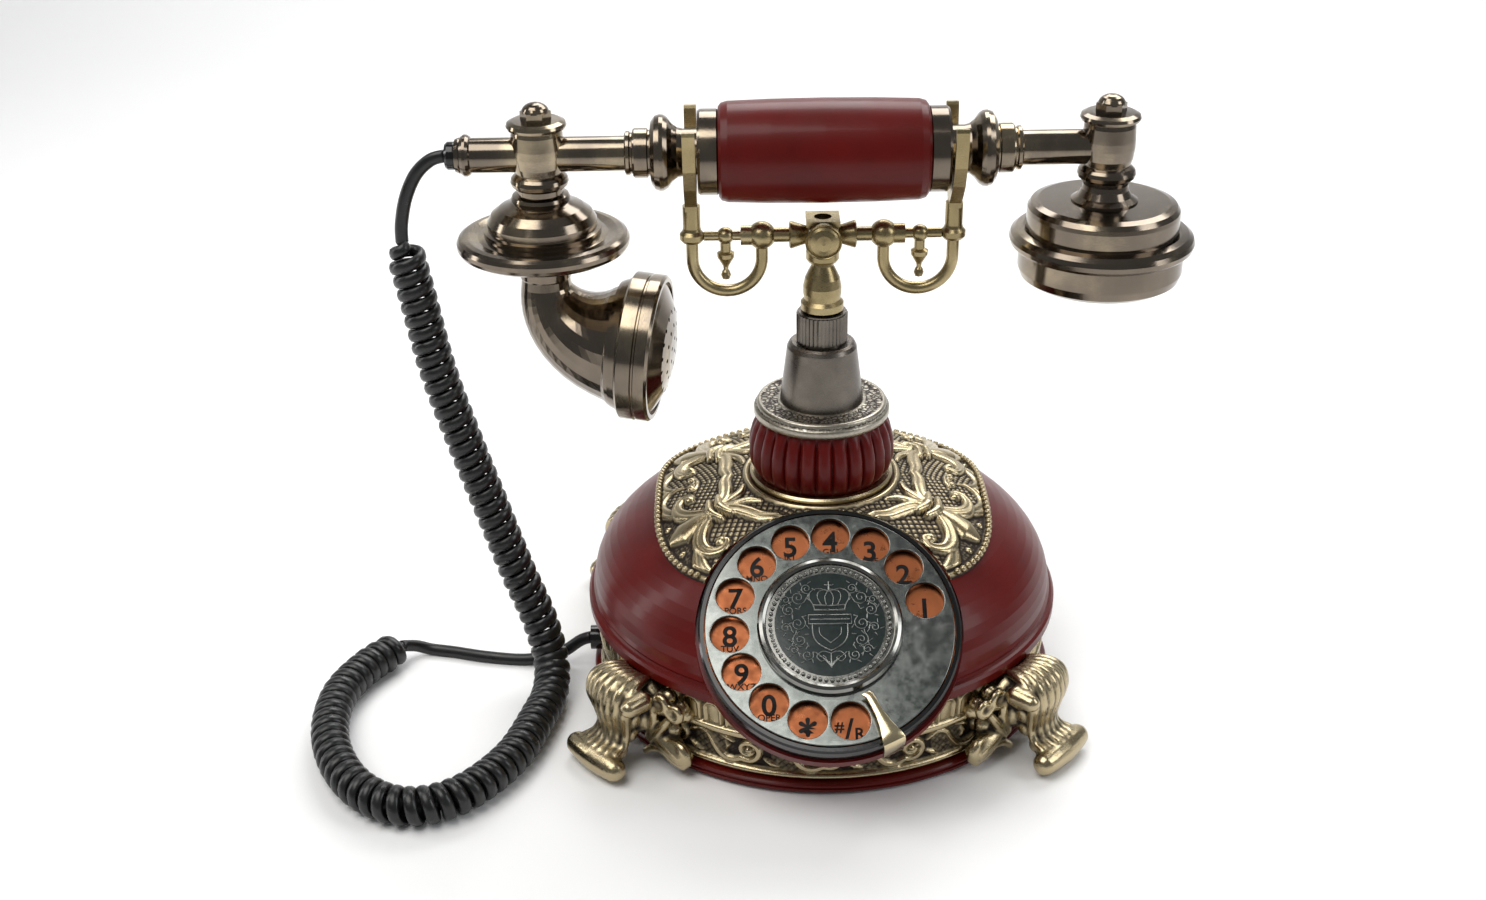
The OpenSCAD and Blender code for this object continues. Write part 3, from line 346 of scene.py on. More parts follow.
def make_finishes():
    look = bpy.context.scene.telephone_finish
    nickel, brass, copper = tuple(look.nickel), tuple(look.brass), tuple(look.copper)
    rubbed = (0.5, 0.41, 0.27, 1)
    return {
        "lacquer": lacquer_finish(look),
        "aged_gold": relief_finish(look),
        "engraved": engraved_finish(look),
        "gunmetal": turned_metal("gunmetal", (0.15, 0.132, 0.115, 1), (0.27, 0.24, 0.2, 1), 0.3, (1, 1, 14)),
        "dark_nickel": turned_metal("dark_nickel", nickel, rubbed, 0.14, (14, 1, 1)),
        "dark_nickel_up": turned_metal("dark_nickel_upright", nickel, rubbed, 0.14, (1, 1, 14)),
        "cradle_brass": turned_metal("cradle_brass", brass, (0.6, 0.5, 0.3, 1), 0.3, (1, 1, 10)),
        "steel": turned_metal("steel", (0.5, 0.5, 0.5, 1), (0.62, 0.62, 0.62, 1), 0.3, (1, 1, 8)),
        "gear_brass": turned_metal("gear_brass", (0.55, 0.4, 0.16, 1), (0.65, 0.5, 0.22, 1), 0.3, (1, 1, 8)),
        "pale_gold": turned_metal("pale_gold", (0.72, 0.6, 0.37, 1), (0.83, 0.74, 0.52, 1), 0.2, (8, 1, 1)),
        "dark_chrome": mirror_metal("dark_chrome", (0.15, 0.165, 0.155, 1), (0.24, 0.25, 0.235, 1), 0.2),
        "bright_chrome": mirror_metal("bright_chrome", (0.21, 0.21, 0.195, 1), (0.32, 0.315, 0.29, 1), 0.15),
        "black_plastic": plain_plastic("gloss_black", (0.006, 0.006, 0.006, 1), 0.12),
        "red_plastic": plain_plastic("button_red", (0.4, 0.02, 0.012, 1), 0.4),
        "copper_plate": mirror_metal("copper", darker(copper, 0.85), darker(copper, 1.3), 0.4),
        "ink": plain_plastic("black_ink", (0.0015, 0.0015, 0.0015, 1), 0.8),
        "label": plain_plastic("dark_label", (0.02, 0.03, 0.028, 1), 0.1, 400),
        "label_silver": mirror_metal("label_silver", (0.16, 0.17, 0.16, 1), (0.3, 0.31, 0.29, 1), 0.3),
        "felt": felt_finish(),
        "board": board_finish(),
        "cord_black": cord_finish(),
    }


FINISHES = {}

# Which finish each CAD node wears where its slot's own doesn't do
NODE_FINISHES = {
    "column_disc": "engraved",
    "pillar_left": "dark_nickel_up",
    "pillar_right": "dark_nickel_up",
    "cap_nuts": "dark_nickel_up",
    "mouth_dish": "dark_nickel_up",
    "ear_drum": "dark_nickel_up",
    "ear_ring": "dark_nickel_up",
    "ear_cover": "dark_nickel_up",
}


# ---------- Mesh helpers ----------
def linked(name, data):
    piece = bpy.data.objects.new(name, data)
    bpy.context.scene.collection.objects.link(piece)
    return piece


def new_piece(name, vertices, faces, smooth=True):
    mesh = bpy.data.meshes.new(name)
    mesh.from_pydata([tuple(v) for v in vertices], [], [tuple(f) for f in faces])
    mesh.validate()
    mesh.polygons.foreach_set("use_smooth", [smooth] * len(mesh.polygons))
    return linked(name, mesh)


def box_piece(name, low, high):
    corners = [(x, y, z) for x in (low[0], high[0]) for y in (low[1], high[1]) for z in (low[2], high[2])]
    faces = [(0, 1, 3, 2), (4, 6, 7, 5), (0, 4, 5, 1), (2, 3, 7, 6), (0, 2, 6, 4), (1, 5, 7, 3)]
    return new_piece(name, corners, faces, False)


def sealed(mesh, weld=0.0, place=None):
    """Joins vertices closer than weld, turns every face outwards and sets the mesh in its place."""
    shape = bmesh.new()
    shape.from_mesh(mesh)
    if weld:
        bmesh.ops.remove_doubles(shape, verts=shape.verts, dist=weld)
    bmesh.ops.recalc_face_normals(shape, faces=shape.faces)
    if place is not None:
        shape.transform(place)
    shape.to_mesh(mesh)
    shape.free()


def mesh_of(curve):
    """The mesh that a curve or a text makes."""
    holder = linked(curve.name, curve)
    bpy.context.view_layer.update()
    mesh = bpy.data.meshes.new_from_object(holder.evaluated_get(bpy.context.evaluated_depsgraph_get()))
    drop(holder)
    return mesh


def settle(piece, finish, body, replaced=()):
    """Gives a piece its finish and hands it to the frame."""
    piece.data.materials.clear()
    piece.data.materials.append(FINISHES[finish])
    for face in piece.data.polygons:
        face.material_index = 0
    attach(piece, body)
    if replaced:
        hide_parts(*replaced)
    return piece


def grid_faces(rows, columns, close_rows, close_columns):
    """Quads over a grid of vertices that are numbered row by row."""
    r = np.arange(rows if close_rows else rows - 1)
    c = np.arange(columns if close_columns else columns - 1)
    r, c = [g.ravel() for g in np.meshgrid(r, c, indexing="ij")]
    up, side = (r + 1) % rows, (c + 1) % columns
    return np.stack([r * columns + c, r * columns + side, up * columns + side, up * columns + c], 1)


def quads_mesh(name, points, faces):
    """A mesh from arrays, which is quicker than a list of tuples for a fine relief."""
    mesh = bpy.data.meshes.new(name)
    mesh.vertices.add(len(points))
    mesh.vertices.foreach_set("co", np.ascontiguousarray(points, np.float32).ravel())
    mesh.loops.add(faces.size)
    mesh.loops.foreach_set("vertex_index", faces.ravel().astype(np.int32))
    mesh.polygons.add(len(faces))
    mesh.polygons.foreach_set("loop_start", np.arange(0, faces.size, 4, dtype=np.int32))
    mesh.update(calc_edges=True)
    mesh.validate()
    mesh.polygons.foreach_set("use_smooth", np.ones(len(mesh.polygons), bool))
    return linked(name, mesh)


def turned_relief(name, radius, z, turn, core):
    """A closed ring from a map of radii over height and turn, with a plain wall at the core's radius."""
    outer = np.stack([radius * np.cos(turn), radius * np.sin(turn), np.repeat(z[:, None], len(turn), 1)], -1)
    ends = np.repeat(z[[-1, 0], None], len(turn), 1)
    inner = np.stack([np.tile(core * np.cos(turn), (2, 1)), np.tile(core * np.sin(turn), (2, 1)), ends], -1)
    points = np.concatenate([outer, inner]).reshape(-1, 3)
    return quads_mesh(name, points, grid_faces(len(z) + 2, len(turn), True, True))


def joined(name, pieces):
    """One mesh that holds all of the pieces, which go."""
    whole = bmesh.new()
    for piece in pieces:
        whole.from_mesh(piece.data)
        drop(piece)
    mesh = bpy.data.meshes.new(name)
    whole.to_mesh(mesh)
    whole.free()
    return linked(name, mesh)


def drop(piece):
    data = piece.data
    bpy.data.objects.remove(piece)
    if data.users == 0:
        if isinstance(data, bpy.types.Mesh):
            bpy.data.meshes.remove(data)
        else:
            bpy.data.curves.remove(data)


def applied(piece):
    """Turns what a piece's modifiers make into its own mesh and takes them off."""
    graph = bpy.context.evaluated_depsgraph_get()
    graph.update()
    mesh = bpy.data.meshes.new_from_object(piece.evaluated_get(graph))
    piece.modifiers.clear()
    old = piece.data
    piece.data = mesh
    if old.users == 0:
        bpy.data.meshes.remove(old)
    return piece


def cut_with(piece, cutter):
    cut = piece.modifiers.new("cut", "BOOLEAN")
    cut.operation = "DIFFERENCE"
    cut.solver = "MANIFOLD"
    cut.object = cutter
    applied(piece)
    drop(cutter)
    if not piece.data.polygons:
        raise RuntimeError(f"the cut left nothing of {piece.name}")
    return piece


def mark_hollows(piece, strength=1.0, rounds=3):
    """Stores on each vertex how far it lies in a hollow, from the bend of the surface round it."""
    mesh = piece.data
    count = len(mesh.vertices)
    points = np.zeros(count * 3, np.float32)
    mesh.vertices.foreach_get("co", points)
    points = points.reshape(-1, 3)
    normals = np.zeros(count * 3, np.float32)
    mesh.vertices.foreach_get("normal", normals)
    normals = normals.reshape(-1, 3)
    edges = np.zeros(len(mesh.edges) * 2, np.int32)
    mesh.edges.foreach_get("vertices", edges)
    a, b = edges.reshape(-1, 2).T
    degree = np.maximum(np.bincount(a, minlength=count) + np.bincount(b, minlength=count), 1)

    def spread(values):
        total = np.zeros_like(values)
        np.add.at(total, a, values[b])
        np.add.at(total, b, values[a])
        return total / (degree if values.ndim == 1 else degree[:, None])

    wide = points
    for _ in range(rounds * 2):
        wide = spread(wide)
    bend = np.einsum("ij,ij->i", wide - points, normals) * 1000
    for _ in range(rounds):
        bend = 0.5 * bend + 0.5 * spread(bend)
    hollow = np.clip(0.3 + bend * 2.2 * strength, 0, 1)
    layer = mesh.attributes.get("hollow") or mesh.attributes.new("hollow", "FLOAT", "POINT")
    layer.data.foreach_set("value", hollow.astype(np.float32))


def store_hollows(piece, values):
    layer = piece.data.attributes.new("hollow", "FLOAT", "POINT")
    layer.data.foreach_set("value", np.clip(values, 0, 1).astype(np.float32))


def smooth_line(points, steps):
    """A smooth curve through points, as an array."""
    p = np.array(points, float)
    out = []
    for i in range(len(p) - 1):
        a, b, c, d = p[max(i - 1, 0)], p[i], p[i + 1], p[min(i + 2, len(p) - 1)]
        for u in np.arange(steps) / steps:
            bend = (2 * a - 5 * b + 4 * c - d) * u**2 + (3 * b - a - 3 * c + d) * u**3
            out.append(0.5 * (2 * b + (c - a) * u + bend))
    out.append(p[-1])
    return np.array(out)


def carried_frames(line, side):
    """Unit tangent, side and up at each point of a line, carried along it without twist."""
    tangents = np.gradient(line, axis=0)
    tangents /= np.linalg.norm(tangents, axis=1)[:, None]
    sides = np.zeros_like(line)
    side = np.array(side, float)
    for i, t in enumerate(tangents):
        side = side - side.dot(t) * t
        side /= np.linalg.norm(side)
        sides[i] = side
    return tangents, sides, np.cross(tangents, sides)


def tube_faces(rings, around):
    """Faces of a tube of rings of vertices, closed at both ends."""
    faces = [tuple(f) for f in grid_faces(rings, around, False, True)]
    faces.append(tuple(range(around - 1, -1, -1)))
    faces.append(tuple((rings - 1) * around + k for k in range(around)))
    return faces


def tube_piece(name, line, radii, side=(0, 0, 1), around=12, flat=1.0):
    """A closed tube along a line, rounded at both ends."""
    line = np.array(line, float)
    radii = np.broadcast_to(np.array(radii, float), len(line)).copy()
    tangents, sides, ups = carried_frames(line, side)
    rings, sizes = [], []
    for turn in (80, 50, 20):
        t = math.radians(turn)
        rings.append(line[0] - tangents[0] * radii[0] * math.sin(t))
        sizes.append(radii[0] * math.cos(t))
    rings += list(line)
    sizes += list(radii)
    for turn in (20, 50, 80):
        t = math.radians(turn)
        rings.append(line[-1] + tangents[-1] * radii[-1] * math.sin(t))
        sizes.append(radii[-1] * math.cos(t))
    pick = np.clip(np.arange(len(rings)) - 3, 0, len(line) - 1)
    angle = np.arange(around) * 2 * math.pi / around
    points = (
        np.array(rings)[:, None, :]
        + (np.array(sizes)[:, None] * np.cos(angle))[:, :, None] * sides[pick][:, None, :]
        + (np.array(sizes)[:, None] * np.sin(angle))[:, :, None] * ups[pick][:, None, :] * flat
    )
    return new_piece(name, points.reshape(-1, 3), tube_faces(len(rings), around))


def turned_piece(name, outline, segments=160, place=None):
    """A closed outline of radius and height, turned about Z. Points on the axis close it."""
    angle = np.arange(segments) * 2 * math.pi / segments
    outline = np.array(outline, float)
    points = np.stack(
        [
            np.outer(outline[:, 0], np.cos(angle)),
            np.outer(outline[:, 0], np.sin(angle)),
            np.repeat(outline[:, 1][:, None], segments, 1),
        ],
        2,
    ).reshape(-1, 3)
    mesh = bmesh.new()
    corners = [mesh.verts.new(p) for p in points]
    for face in grid_faces(len(outline), segments, True, True):
        ring = [corners[i] for i in face]
        if len({tuple(round(x, 7) for x in v.co) for v in ring}) > 2:
            mesh.faces.new(ring)
    bmesh.ops.remove_doubles(mesh, verts=mesh.verts, dist=1e-7)
    bmesh.ops.recalc_face_normals(mesh, faces=mesh.faces)
    if place is not None:
        mesh.transform(place)
    data = bpy.data.meshes.new(name)
    mesh.to_mesh(data)
    mesh.free()
    data.polygons.foreach_set("use_smooth", [True] * len(data.polygons))
    return linked(name, data)


# ---------- Relief drawing ----------
class Relief:
    """A height map over a flat patch that strokes raise like rolled clay."""

    def __init__(self, x, y, ground=0.0):
        self.x, self.y = x, y
        self.height = np.full(x.shape, ground, float)

    def nearest(self, line):
        """Distance from each point to a line, and how far along it, from 0 to 1, the nearest place is."""
        line = np.array(line, float)
        best = np.full(self.x.shape, 1e9)
        along = np.zeros(self.x.shape)
        pieces = len(line) - 1
        for i in range(pieces):
            ax, ay = line[i]
            dx, dy = line[i + 1] - line[i]
            t = ((self.x - ax) * dx + (self.y - ay) * dy) / max(dx * dx + dy * dy, 1e-12)
            t = np.clip(t, 0, 1)
            d = np.hypot(self.x - ax - t * dx, self.y - ay - t * dy)
            near = d < best
            best = np.where(near, d, best)
            along = np.where(near, (i + t) / pieces, along)
        return best, along

    def stroke(self, points, width, height, groove=0.0, steps=5):
        """Raises a rounded ridge along points, whose width and height may be lists that change along it."""
        distance, along = self.nearest(smooth_line(points, steps))
        half = self.along(width, along)
        top = self.along(height, along)
        across = np.clip(distance / np.maximum(half, 1e-9), 0, 1)
        ridge = top * np.sqrt(np.clip(1 - across**2.6, 0, 1))
        if groove:
            ridge -= groove * np.exp(-((distance / np.maximum(half * 0.3, 1e-9)) ** 2))
        self.height = np.where(distance < half, np.maximum(self.height, ridge), self.height)

    def ball(self, x, y, radius, height):
        self.stroke([(x, y), (x + 1e-6, y)], radius, height, steps=1)

    @staticmethod
    def along(value, t):
        if np.ndim(value) == 0:
            return np.full(t.shape, float(value))
        value = np.array(value, float)
        return np.interp(t, np.linspace(0, 1, len(value)), value)


def spiral(x, y, start_radius, end_radius, start_angle, turns, points=14):
    """Points of a spiral about a centre. Angles are in degrees and turns may be negative."""
    out = []
    for i in range(points):
        u = i / (points - 1)
        angle = math.radians(start_angle + 360 * turns * u)
        radius = start_radius + (end_radius - start_radius) * u**0.85
        out.append((x + radius * math.cos(angle), y + radius * math.sin(angle)))
    return out


# ---------- Repeats by geometry nodes ----------
def repeat_tree(name):
    """A node tree that sets a sized item on every point of a mesh, turned to the stored facing."""
    tree = bpy.data.node_groups.new(name, "GeometryNodeTree")
    face = tree.interface
    face.new_socket("Geometry", in_out="INPUT", socket_type="NodeSocketGeometry")
    face.new_socket("Item", in_out="INPUT", socket_type="NodeSocketObject")
    face.new_socket("Size", in_out="INPUT", socket_type="NodeSocketFloat")
    face.new_socket("Material", in_out="INPUT", socket_type="NodeSocketMaterial")
    face.new_socket("Geometry", in_out="OUTPUT", socket_type="NodeSocketGeometry")
    nodes, links = tree.nodes, tree.links
    start = nodes.new("NodeGroupInput")
    end = nodes.new("NodeGroupOutput")
    item = nodes.new("GeometryNodeObjectInfo")
    facing = nodes.new("GeometryNodeInputNamedAttribute")
    facing.data_type = "FLOAT_VECTOR"
    facing.inputs["Name"].default_value = "facing"
    turn = nodes.new("FunctionNodeAlignRotationToVector")
    turn.axis = "Z"
    place = nodes.new("GeometryNodeInstanceOnPoints")
    real = nodes.new("GeometryNodeRealizeInstances")
    coat = nodes.new("GeometryNodeSetMaterial")
    links.new(start.outputs["Geometry"], place.inputs["Points"])
    links.new(start.outputs["Item"], item.inputs["Object"])
    links.new(item.outputs["Geometry"], place.inputs["Instance"])
    links.new(facing.outputs["Attribute"], turn.inputs["Vector"])
    links.new(turn.outputs["Rotation"], place.inputs["Rotation"])
    links.new(start.outputs["Size"], place.inputs["Scale"])
    links.new(place.outputs["Instances"], real.inputs["Geometry"])
    links.new(real.outputs["Geometry"], coat.inputs["Geometry"])
    links.new(start.outputs["Material"], coat.inputs["Material"])
    links.new(coat.outputs["Geometry"], end.inputs["Geometry"])
    return tree


def repeated(name, points, facings, item, size, finish):
    """A piece with a copy of the item on each point, made by the repeat tree."""
    mesh = bpy.data.meshes.new(name)
    mesh.from_pydata([tuple(p) for p in points], [], [])
    layer = mesh.attributes.new("facing", "FLOAT_VECTOR", "POINT")
    layer.data.foreach_set("vector", np.array(facings, np.float32).ravel())
    piece = linked(name, mesh)
    tree = bpy.data.node_groups.get("Repeat on points") or repeat_tree("Repeat on points")
    modifier = piece.modifiers.new("repeat", "NODES")
    modifier.node_group = tree
    keys = {s.name: s.identifier for s in tree.interface.items_tree if s.in_out == "INPUT"}
    modifier[keys["Item"]] = item
    modifier[keys["Size"]] = size
    modifier[keys["Material"]] = FINISHES[finish]
    applied(piece)
    drop(item)
    piece.data.polygons.foreach_set("use_smooth", [True] * len(piece.data.polygons))
    return piece


def ball_item(segments=12, rings=8):
    mesh = bmesh.new()
    bmesh.ops.create_uvsphere(mesh, u_segments=segments, v_segments=rings, radius=1)
    data = bpy.data.meshes.new("bead")
    mesh.to_mesh(data)
    mesh.free()
    return linked("bead", data)


# ---------- Dome ornament ----------
def ornament_edge(turn):
    """Outer radius of the ornament at an angle from +X, in millimetres."""
    return 70 + 4 * np.cos(4 * (turn - math.pi / 4))


def draw_ornament(x, y):
    """Height in millimetres over one of the six units, whose middle lies along +x and whose edge is at 72."""
    radius = np.hypot(x, y)
    mesh = np.clip(np.abs(np.sin((x + y) * math.pi / 3.3)) * 2.2 - 0.5, 0, 1)
    mesh *= np.clip(np.abs(np.sin((x - y) * math.pi / 3.3)) * 2.2 - 0.5, 0, 1)
    art = Relief(x, y)
    rough = 0.2 * np.sin(x * 2.1 + np.sin(y * 1.9) * 2) * np.sin(y * 2.3 + np.sin(x * 1.7) * 2)
    in_fan = (np.abs(y) < (radius - 47) * 0.95) & (radius > 50)
    art.height = np.where(in_fan, 0.2 + rough, 0.1 + 0.5 * mesh)
    for side in (-1, 1):
        art.stroke(
            [(46, 1.5 * side), (42, 5 * side), (39, 10.5 * side), (36.5, 16 * side), (32, 20 * side)],
            [2.2, 3.2, 3.4, 3.2, 2.4], [2.7, 2.6, 2.4, 2.2, 1.9], groove=0.6,
        )
        art.stroke(
            [(45, 0.8 * side), (40, 2.2 * side), (35.5, 3.6 * side), (32, 7 * side)],
            [1.7, 2.2, 2.0, 1.2], [2.1, 2.1, 1.9, 1.4],
        )
        art.stroke(
            [(51, 1.6 * side), (56.5, 5.4 * side), (60, 11 * side), (59.6, 16.5 * side), (56, 19.6 * side),
             (52.6, 18 * side), (53.2, 15.2 * side)],
            [2.0, 3.2, 3.3, 2.7, 2.2, 1.8, 1.5], [2.4, 2.6, 2.7, 2.6, 2.4, 2.3, 2.2], groove=0.5,
        )
        art.stroke(
            [(53, 4.5 * side), (60, 11 * side), (64.6, 19 * side), (64.4, 27 * side), (58, 32 * side),
             (50, 31 * side), (46.5, 26.5 * side), (49, 23 * side)],
            [1.6, 2.4, 3.0, 3.0, 2.6, 2.2, 1.8, 1.4], [1.7, 1.9, 2.0, 1.9, 1.8, 1.7, 1.7, 1.6], groove=0.6,
        )
        art.ball(54, 16.2 * side, 2.3, 2.9)
        art.ball(49.6, 24.4 * side, 1.9, 2.3)
        art.ball(66.8, 8.5 * side, 1.3, 1.3)
    art.stroke([(51, 0), (57, 0), (63, 0), (68.4, 0)], [1.8, 4.4, 5.8, 1.8], [2.5, 3.0, 2.9, 1.6])
    for across in (45.4, 49.6):
        art.stroke(
            [(across - 1.2, -6.4), (across + 0.8, 0), (across - 1.2, 6.4)], [1.5, 2.1, 1.5], [3.0, 3.9, 3.0]
        )
    rim = np.clip(1 - np.abs(radius - 70.6) / 1.6, 0, 1)
    art.height = np.where(radius > 68.7, 0.15 + 0.75 * rim, art.height)
    inner = np.clip(1 - np.abs(radius - 30.2) / 1.8, 0, 1)
    return np.maximum(art.height, 1.6 * np.sqrt(inner))


def dome_point(radius, turn, lift):
    """Points on the dome, lifted along its normal. Sizes are in millimetres and the result in metres."""
    a, b, base = DOME_R / MM, DOME_RISE / MM, SPRING_Z / MM
    rise = np.sqrt(np.clip(1 - (radius / a) ** 2, 0, 1))
    across, up = radius / a**2, rise / b
    size = np.hypot(across, up)
    out = radius + lift * across / size
    return np.stack([out * np.cos(turn), out * np.sin(turn), base + b * rise + lift * up / size], -1) * MM


class TELEPHONE_OT_dome_ornament(bpy.types.Operator):
    """Model the relief cap that lies on the dome, with its edge of beads"""

    bl_idname = "telephone.dome_ornament"
    bl_label = "Dome ornament"

    def execute(self, context):
        relief = context.scene.telephone_relief
        units, columns, rows = 6, 140, 84
        inner, drawn_edge = 28.6, 72
        local = (np.arange(columns) + 0.5) * math.radians(60) / columns - math.radians(30)
        part = np.linspace(0, 1, rows)[:, None]
        drawn = np.broadcast_to(inner + part * (drawn_edge - inner), (rows, columns))
        height = np.tile(draw_ornament(drawn * np.cos(local), drawn * np.sin(local)), units)
        height *= relief.ornament / (2.3 * MM)
        height[-1] = 0.2
        turn = np.concatenate([local + math.radians(-90 + 60 * k) for k in range(units)])
        radius = inner + part * (ornament_edge(turn) - inner)
        turn = np.broadcast_to(turn, radius.shape)
        top = dome_point(radius, turn, height)
        under = dome_point(radius[[-1, 0]], turn[[-1, 0]], -0.8)
        points = np.concatenate([top, under]).reshape(-1, 3)
        piece = quads_mesh("ornament_relief", points, grid_faces(rows + 2, columns * units, True, True))
        soft = height.copy()
        for _ in range(4):
            beside = np.roll(soft, 1, 0) + np.roll(soft, -1, 0) + np.roll(soft, 1, 1) + np.roll(soft, -1, 1)
            soft = (soft + beside) / 5
        hollow = 0.84 - height / 2.9 + (soft - height) * 1.5
        store_hollows(piece, np.concatenate([hollow, hollow[[-1, 0]]]).ravel())
        cutter = turned_piece(
            "dial_cutter",
            [(0, -30 * MM), (BOSS_R + 0.7 * MM, -30 * MM), (BOSS_R + 0.7 * MM, 50 * MM), (0, 50 * MM)],
            192, DIAL_PLACE,
        )
        cut_with(piece, cutter)
        settle(piece, "aged_gold", "base", ["dome_ornament"])
        self.add_beads(relief.bead)
        return {"FINISHED"}

    def add_beads(self, size):
        """Beads stand side by side along the edge, away from the dial."""
        fine = np.linspace(0, 2 * math.pi, 4000, endpoint=False)
        edge = ornament_edge(fine) - 1.4
        line = dome_point(edge, fine, 1.5)
        run = np.concatenate([[0], np.cumsum(np.linalg.norm(np.diff(line, axis=0), axis=1))])
        count = int(run[-1] / (2.3 * size))
        picks = np.searchsorted(run, np.arange(count) * run[-1] / count)
        places, facings = [], []
        lifted = dome_point(edge, fine, 2.5)
        back = DIAL_PLACE.inverted()
        for i in picks:
            local = back @ Vector(line[i])
            if math.hypot(local.x, local.y) > BOSS_R + 2 * MM:
                places.append(line[i])
                facings.append(lifted[i] - line[i])
        beads = repeated("ornament_beads", places, facings, ball_item(), size, "aged_gold")
        store_hollows(beads, np.full(len(beads.data.vertices), 0.22))
        settle(beads, "aged_gold", "base")


# ---------- Skirt ----------
def draw_scroll_band(x, y):
    """Height in millimetres of one scroll unit, 31 wide and 13.5 tall, about its middle."""
    art = Relief(x, y)
    lattice = np.clip(np.abs(np.sin((x + y) * math.pi / 3.2)) * 2.4 - 0.4, 0, 1)
    lattice *= np.clip(np.abs(np.sin((x - y) * math.pi / 3.2)) * 2.4 - 0.4, 0, 1)
    art.height = 0.35 * lattice - 0.1
    art.height = np.where(np.abs(x) < 8.5, -0.25 + 0.1 * np.sin(x * 4) * np.sin(y * 4), art.height)
    for shift in (-31, 0, 31):
        art.stroke(
            spiral(shift, 0.6, 5.4, 1.9, -120, 1.25, 18), [1.3, 1.3, 1.0, 0.9], [1.5, 1.7, 1.6, 1.5], 0.25, 3
        )
        art.ball(shift, 0.6, 1.5, 1.6)
        for k in range(5):
            a = math.radians(72 * k + 20)
            art.ball(shift + 2.3 * math.cos(a), 0.6 + 2.3 * math.sin(a), 0.75, 1.2)
        art.stroke(
            [(shift - 2.7, -4.1), (shift - 6.5, -5.4), (shift - 10.5, -4.4), (shift - 13.6, -0.6),
             (shift - 16.5, 4), (shift - 20, 5.3), (shift - 23, 4.2)],
            [1.3, 1.4, 1.5, 1.4, 1.3, 1.1, 0.8], [1.5, 1.5, 1.6, 1.6, 1.5, 1.3, 1.0], 0.3,
        )
        for buds, width, height in (
            ([(6.2, 2.5), (8.6, 4.4), (11.4, 5.2)], [0.5, 1.3, 0.4], [0.9, 1.3, 0.8]),
            ([(-6, 3), (-8.5, 4.6), (-11.6, 5.2)], [0.5, 1.3, 0.4], [0.9, 1.3, 0.8]),
            ([(6, -2.5), (9, -4.2), (12, -5.4)], [0.5, 1.4, 0.4], [0.9, 1.4, 0.8]),
            ([(-9, -1.6), (-8.2, 1), (-9.4, 3)], [0.4, 1.0, 0.4], [0.8, 1.2, 0.8]),
        ):
            art.stroke([(shift + x, y) for x, y in buds], width, height)
    return art.height


